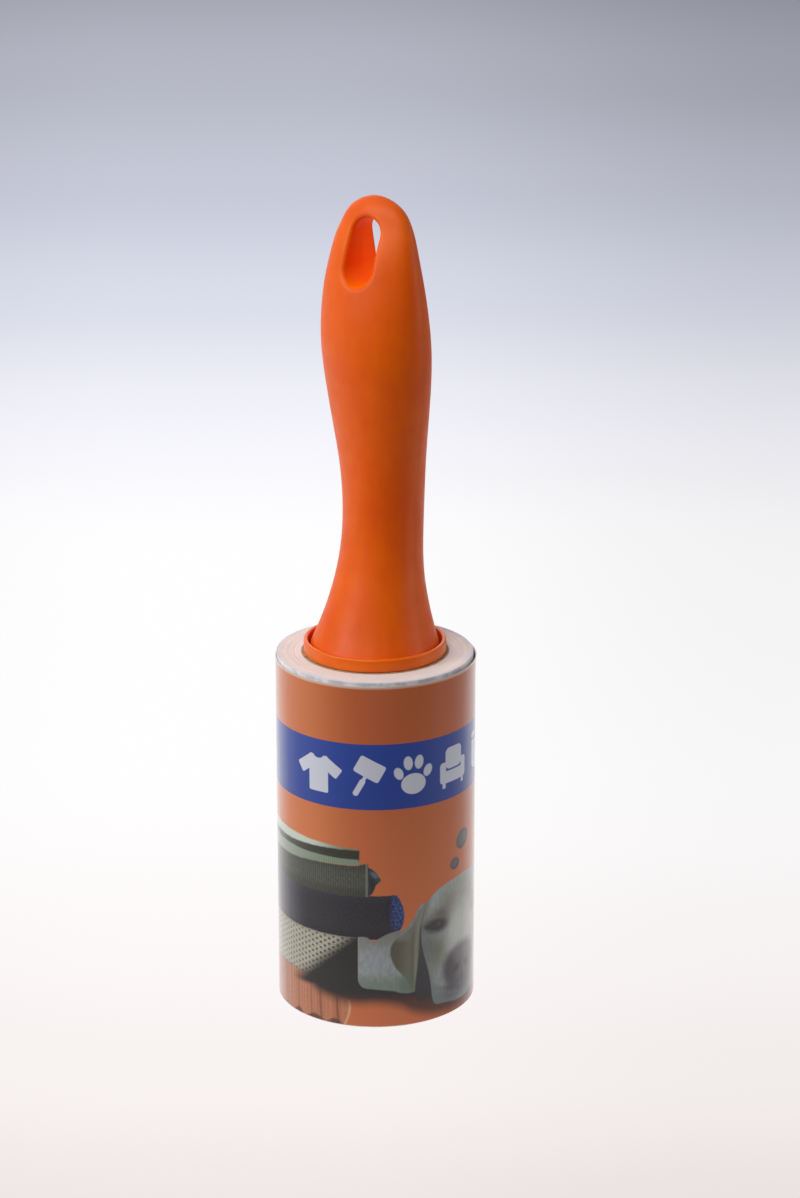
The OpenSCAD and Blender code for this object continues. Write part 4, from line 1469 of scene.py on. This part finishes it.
def floor_look():
    """A glowing floor, seen from above only, that looks as if it lay at the roll's foot."""
    g = Graph("pale_floor_look")
    fade = g.fade
    geometry = g.node("NewGeometry").outputs
    # where each line of sight meets the level of the roll's foot
    x, y, z = g.split(geometry["Position"])
    sight_x, sight_y, sight_z = g.split(geometry["Incoming"])
    k = (-0.0002 - z) / g.max(sight_z, 0.0005)
    x, y = x + sight_x * k, y + sight_y * k
    depth = x * AWAY[0] + y * AWAY[1]                       # away from the camera
    across = x * AWAY[1] - y * AWAY[0]                      # to the camera's right
    color = (236, 226, 225)
    # depths where each tone starts and is full, tone
    for start, full, tone in ((-0.16, -0.05, (247, 241, 240)), (-0.05, 0.02, (251, 246, 246)),
                              (0.0, 0.17, (254, 253, 254)), (0.40, 0.62, (243, 243, 250)),
                              (0.56, 0.86, (218, 221, 234)), (0.80, 1.12, (199, 201, 216)),
                              (1.05, 1.50, (181, 183, 196)), (1.45, 2.0, (160, 162, 174))):
        color = g.mix(fade(depth, start, full), color, tone)
    # a little darker towards both sides of the view
    aside = across / g.max(depth + CAMERA_BACK, 0.3)
    weight = g.max(g.min(g.ramp(depth, 0.1, 1.4, 0.2, 1.0), 1.0), 0.2)
    side = (1.0 - fade(aside, -0.03, 0.125) * weight * 0.27) \
        * (1.0 - fade(aside, -0.07, -0.16) * weight * 0.1)
    # what the object sees: bright around it, dim in front of it and far to the right
    seen = (0.03 + fade(depth, -0.26, 0.0) * 0.97) * (0.25 + fade(across, 0.52, 0.16) * 0.75)
    camera_ray = g.value("LightPath", output="Is Camera Ray")
    glow = g.node("Emission", {0: color, 1: side * (seen * (1.0 - camera_ray) + camera_ray)})
    g.set(color=(0.02, 0.02, 0.02, 1.0), rough=0.9, spec=0.0)
    lit = g.node("AddShader", {0: glow.outputs[0], 1: g.shader.outputs[0]})
    clear = g.node("BsdfTransparent")
    shown = g.node("MixShader", {0: geometry["Backfacing"], 1: lit.outputs[0],
                                 2: clear.outputs[0]})
    g.put(g.out.inputs["Surface"], shown.outputs[0])
    return g.material


def pale_floor():
    sides = 64
    verts = [(0, 0, 0)] + [(x, y, 0) for x, y in circle(9000.0, sides)]
    floor = new_mesh("pale_floor", verts,
                     [(0, i + 1, (i + 1) % sides + 1) for i in range(sides)])
    floor.location.z = -0.26            # pieces slid off the lower end stay in sight
    floor.data.materials.append(floor_look())


def area_light(name, bearing, distance, height, aim, size, power, color=(1, 1, 1)):
    """A light at a bearing from the camera's, aimed at height aim on the axis."""
    light = bpy.data.lights.new(name, "AREA")
    light.shape = "RECTANGLE"
    light.size, light.size_y = size
    light.energy = power
    light.color = color
    ob = bpy.data.objects.new(name, light)
    scene.collection.objects.link(ob)
    angle = (CAMERA_BEARING + bearing) * DEG
    ob.location = place = (math.sin(angle) * distance, -math.cos(angle) * distance, height)
    direction = mathutils.Vector((0, 0, aim)) - mathutils.Vector(place)
    ob.rotation_euler = direction.to_track_quat("-Z", "Y").to_euler()


def surroundings():
    """A bright wall behind, a dark room in front; the camera sees an even tone."""
    world = bpy.data.worlds.new("studio")
    scene.world = world
    world.use_nodes = True
    t = Tree(world.node_tree)
    background = t.tree.nodes["Background"]
    behind = t.value("VectorMath", {0: t.node("TexCoord").outputs["Generated"],
                                    1: (AWAY[0], AWAY[1], 0.15)}, "Value",
                     operation="DOT_PRODUCT")
    bright = t.value("MapRange", {0: behind, 1: -0.3, 2: 0.8, 3: 0.025, 4: 0.52},
                     interpolation_type="SMOOTHSTEP")
    camera_ray = t.value("LightPath", output="Is Camera Ray")
    strength = t.value("Mix", {0: camera_ray, 2: bright, 3: 0.45}, data_type="FLOAT")
    t.put(background.inputs[0], (240, 242, 250))
    t.put(background.inputs[1], strength)


def camera():
    data = bpy.data.cameras.new("photo_view")
    data.lens = 106.34724541
    data.sensor_width = 36
    data.clip_end = 50
    ob = bpy.data.objects.new("photo_view", data)
    scene.collection.objects.link(ob)
    angle = CAMERA_BEARING * DEG
    x, y = 0.0069, -CAMERA_BACK         # before the turn to the camera's bearing
    ob.location = (x * math.cos(angle) - y * math.sin(angle),
                   x * math.sin(angle) + y * math.cos(angle), 0.423)
    ob.rotation_euler = ((90 - 18.4) * DEG, 0, angle)
    scene.camera = ob


pale_floor()
area_light("soft_left", bearing=-66, distance=0.95, height=0.72, aim=0.11, size=(0.6, 0.8),
           power=7.1, color=(1.0, 0.99, 0.97))
area_light("soft_back", bearing=190, distance=1.5, height=0.6, aim=0.1, size=(1.4, 1.4),
           power=4.6, color=(0.97, 0.98, 1.0))
area_light("soft_right", bearing=84, distance=1.1, height=0.35, aim=0.12, size=(0.6, 0.9),
           power=2.6, color=(1.0, 0.98, 0.98))
area_light("soft_top", bearing=-24, distance=0.75, height=1.12, aim=0.1, size=(0.45, 0.45),
           power=6.2)
surroundings()
camera()
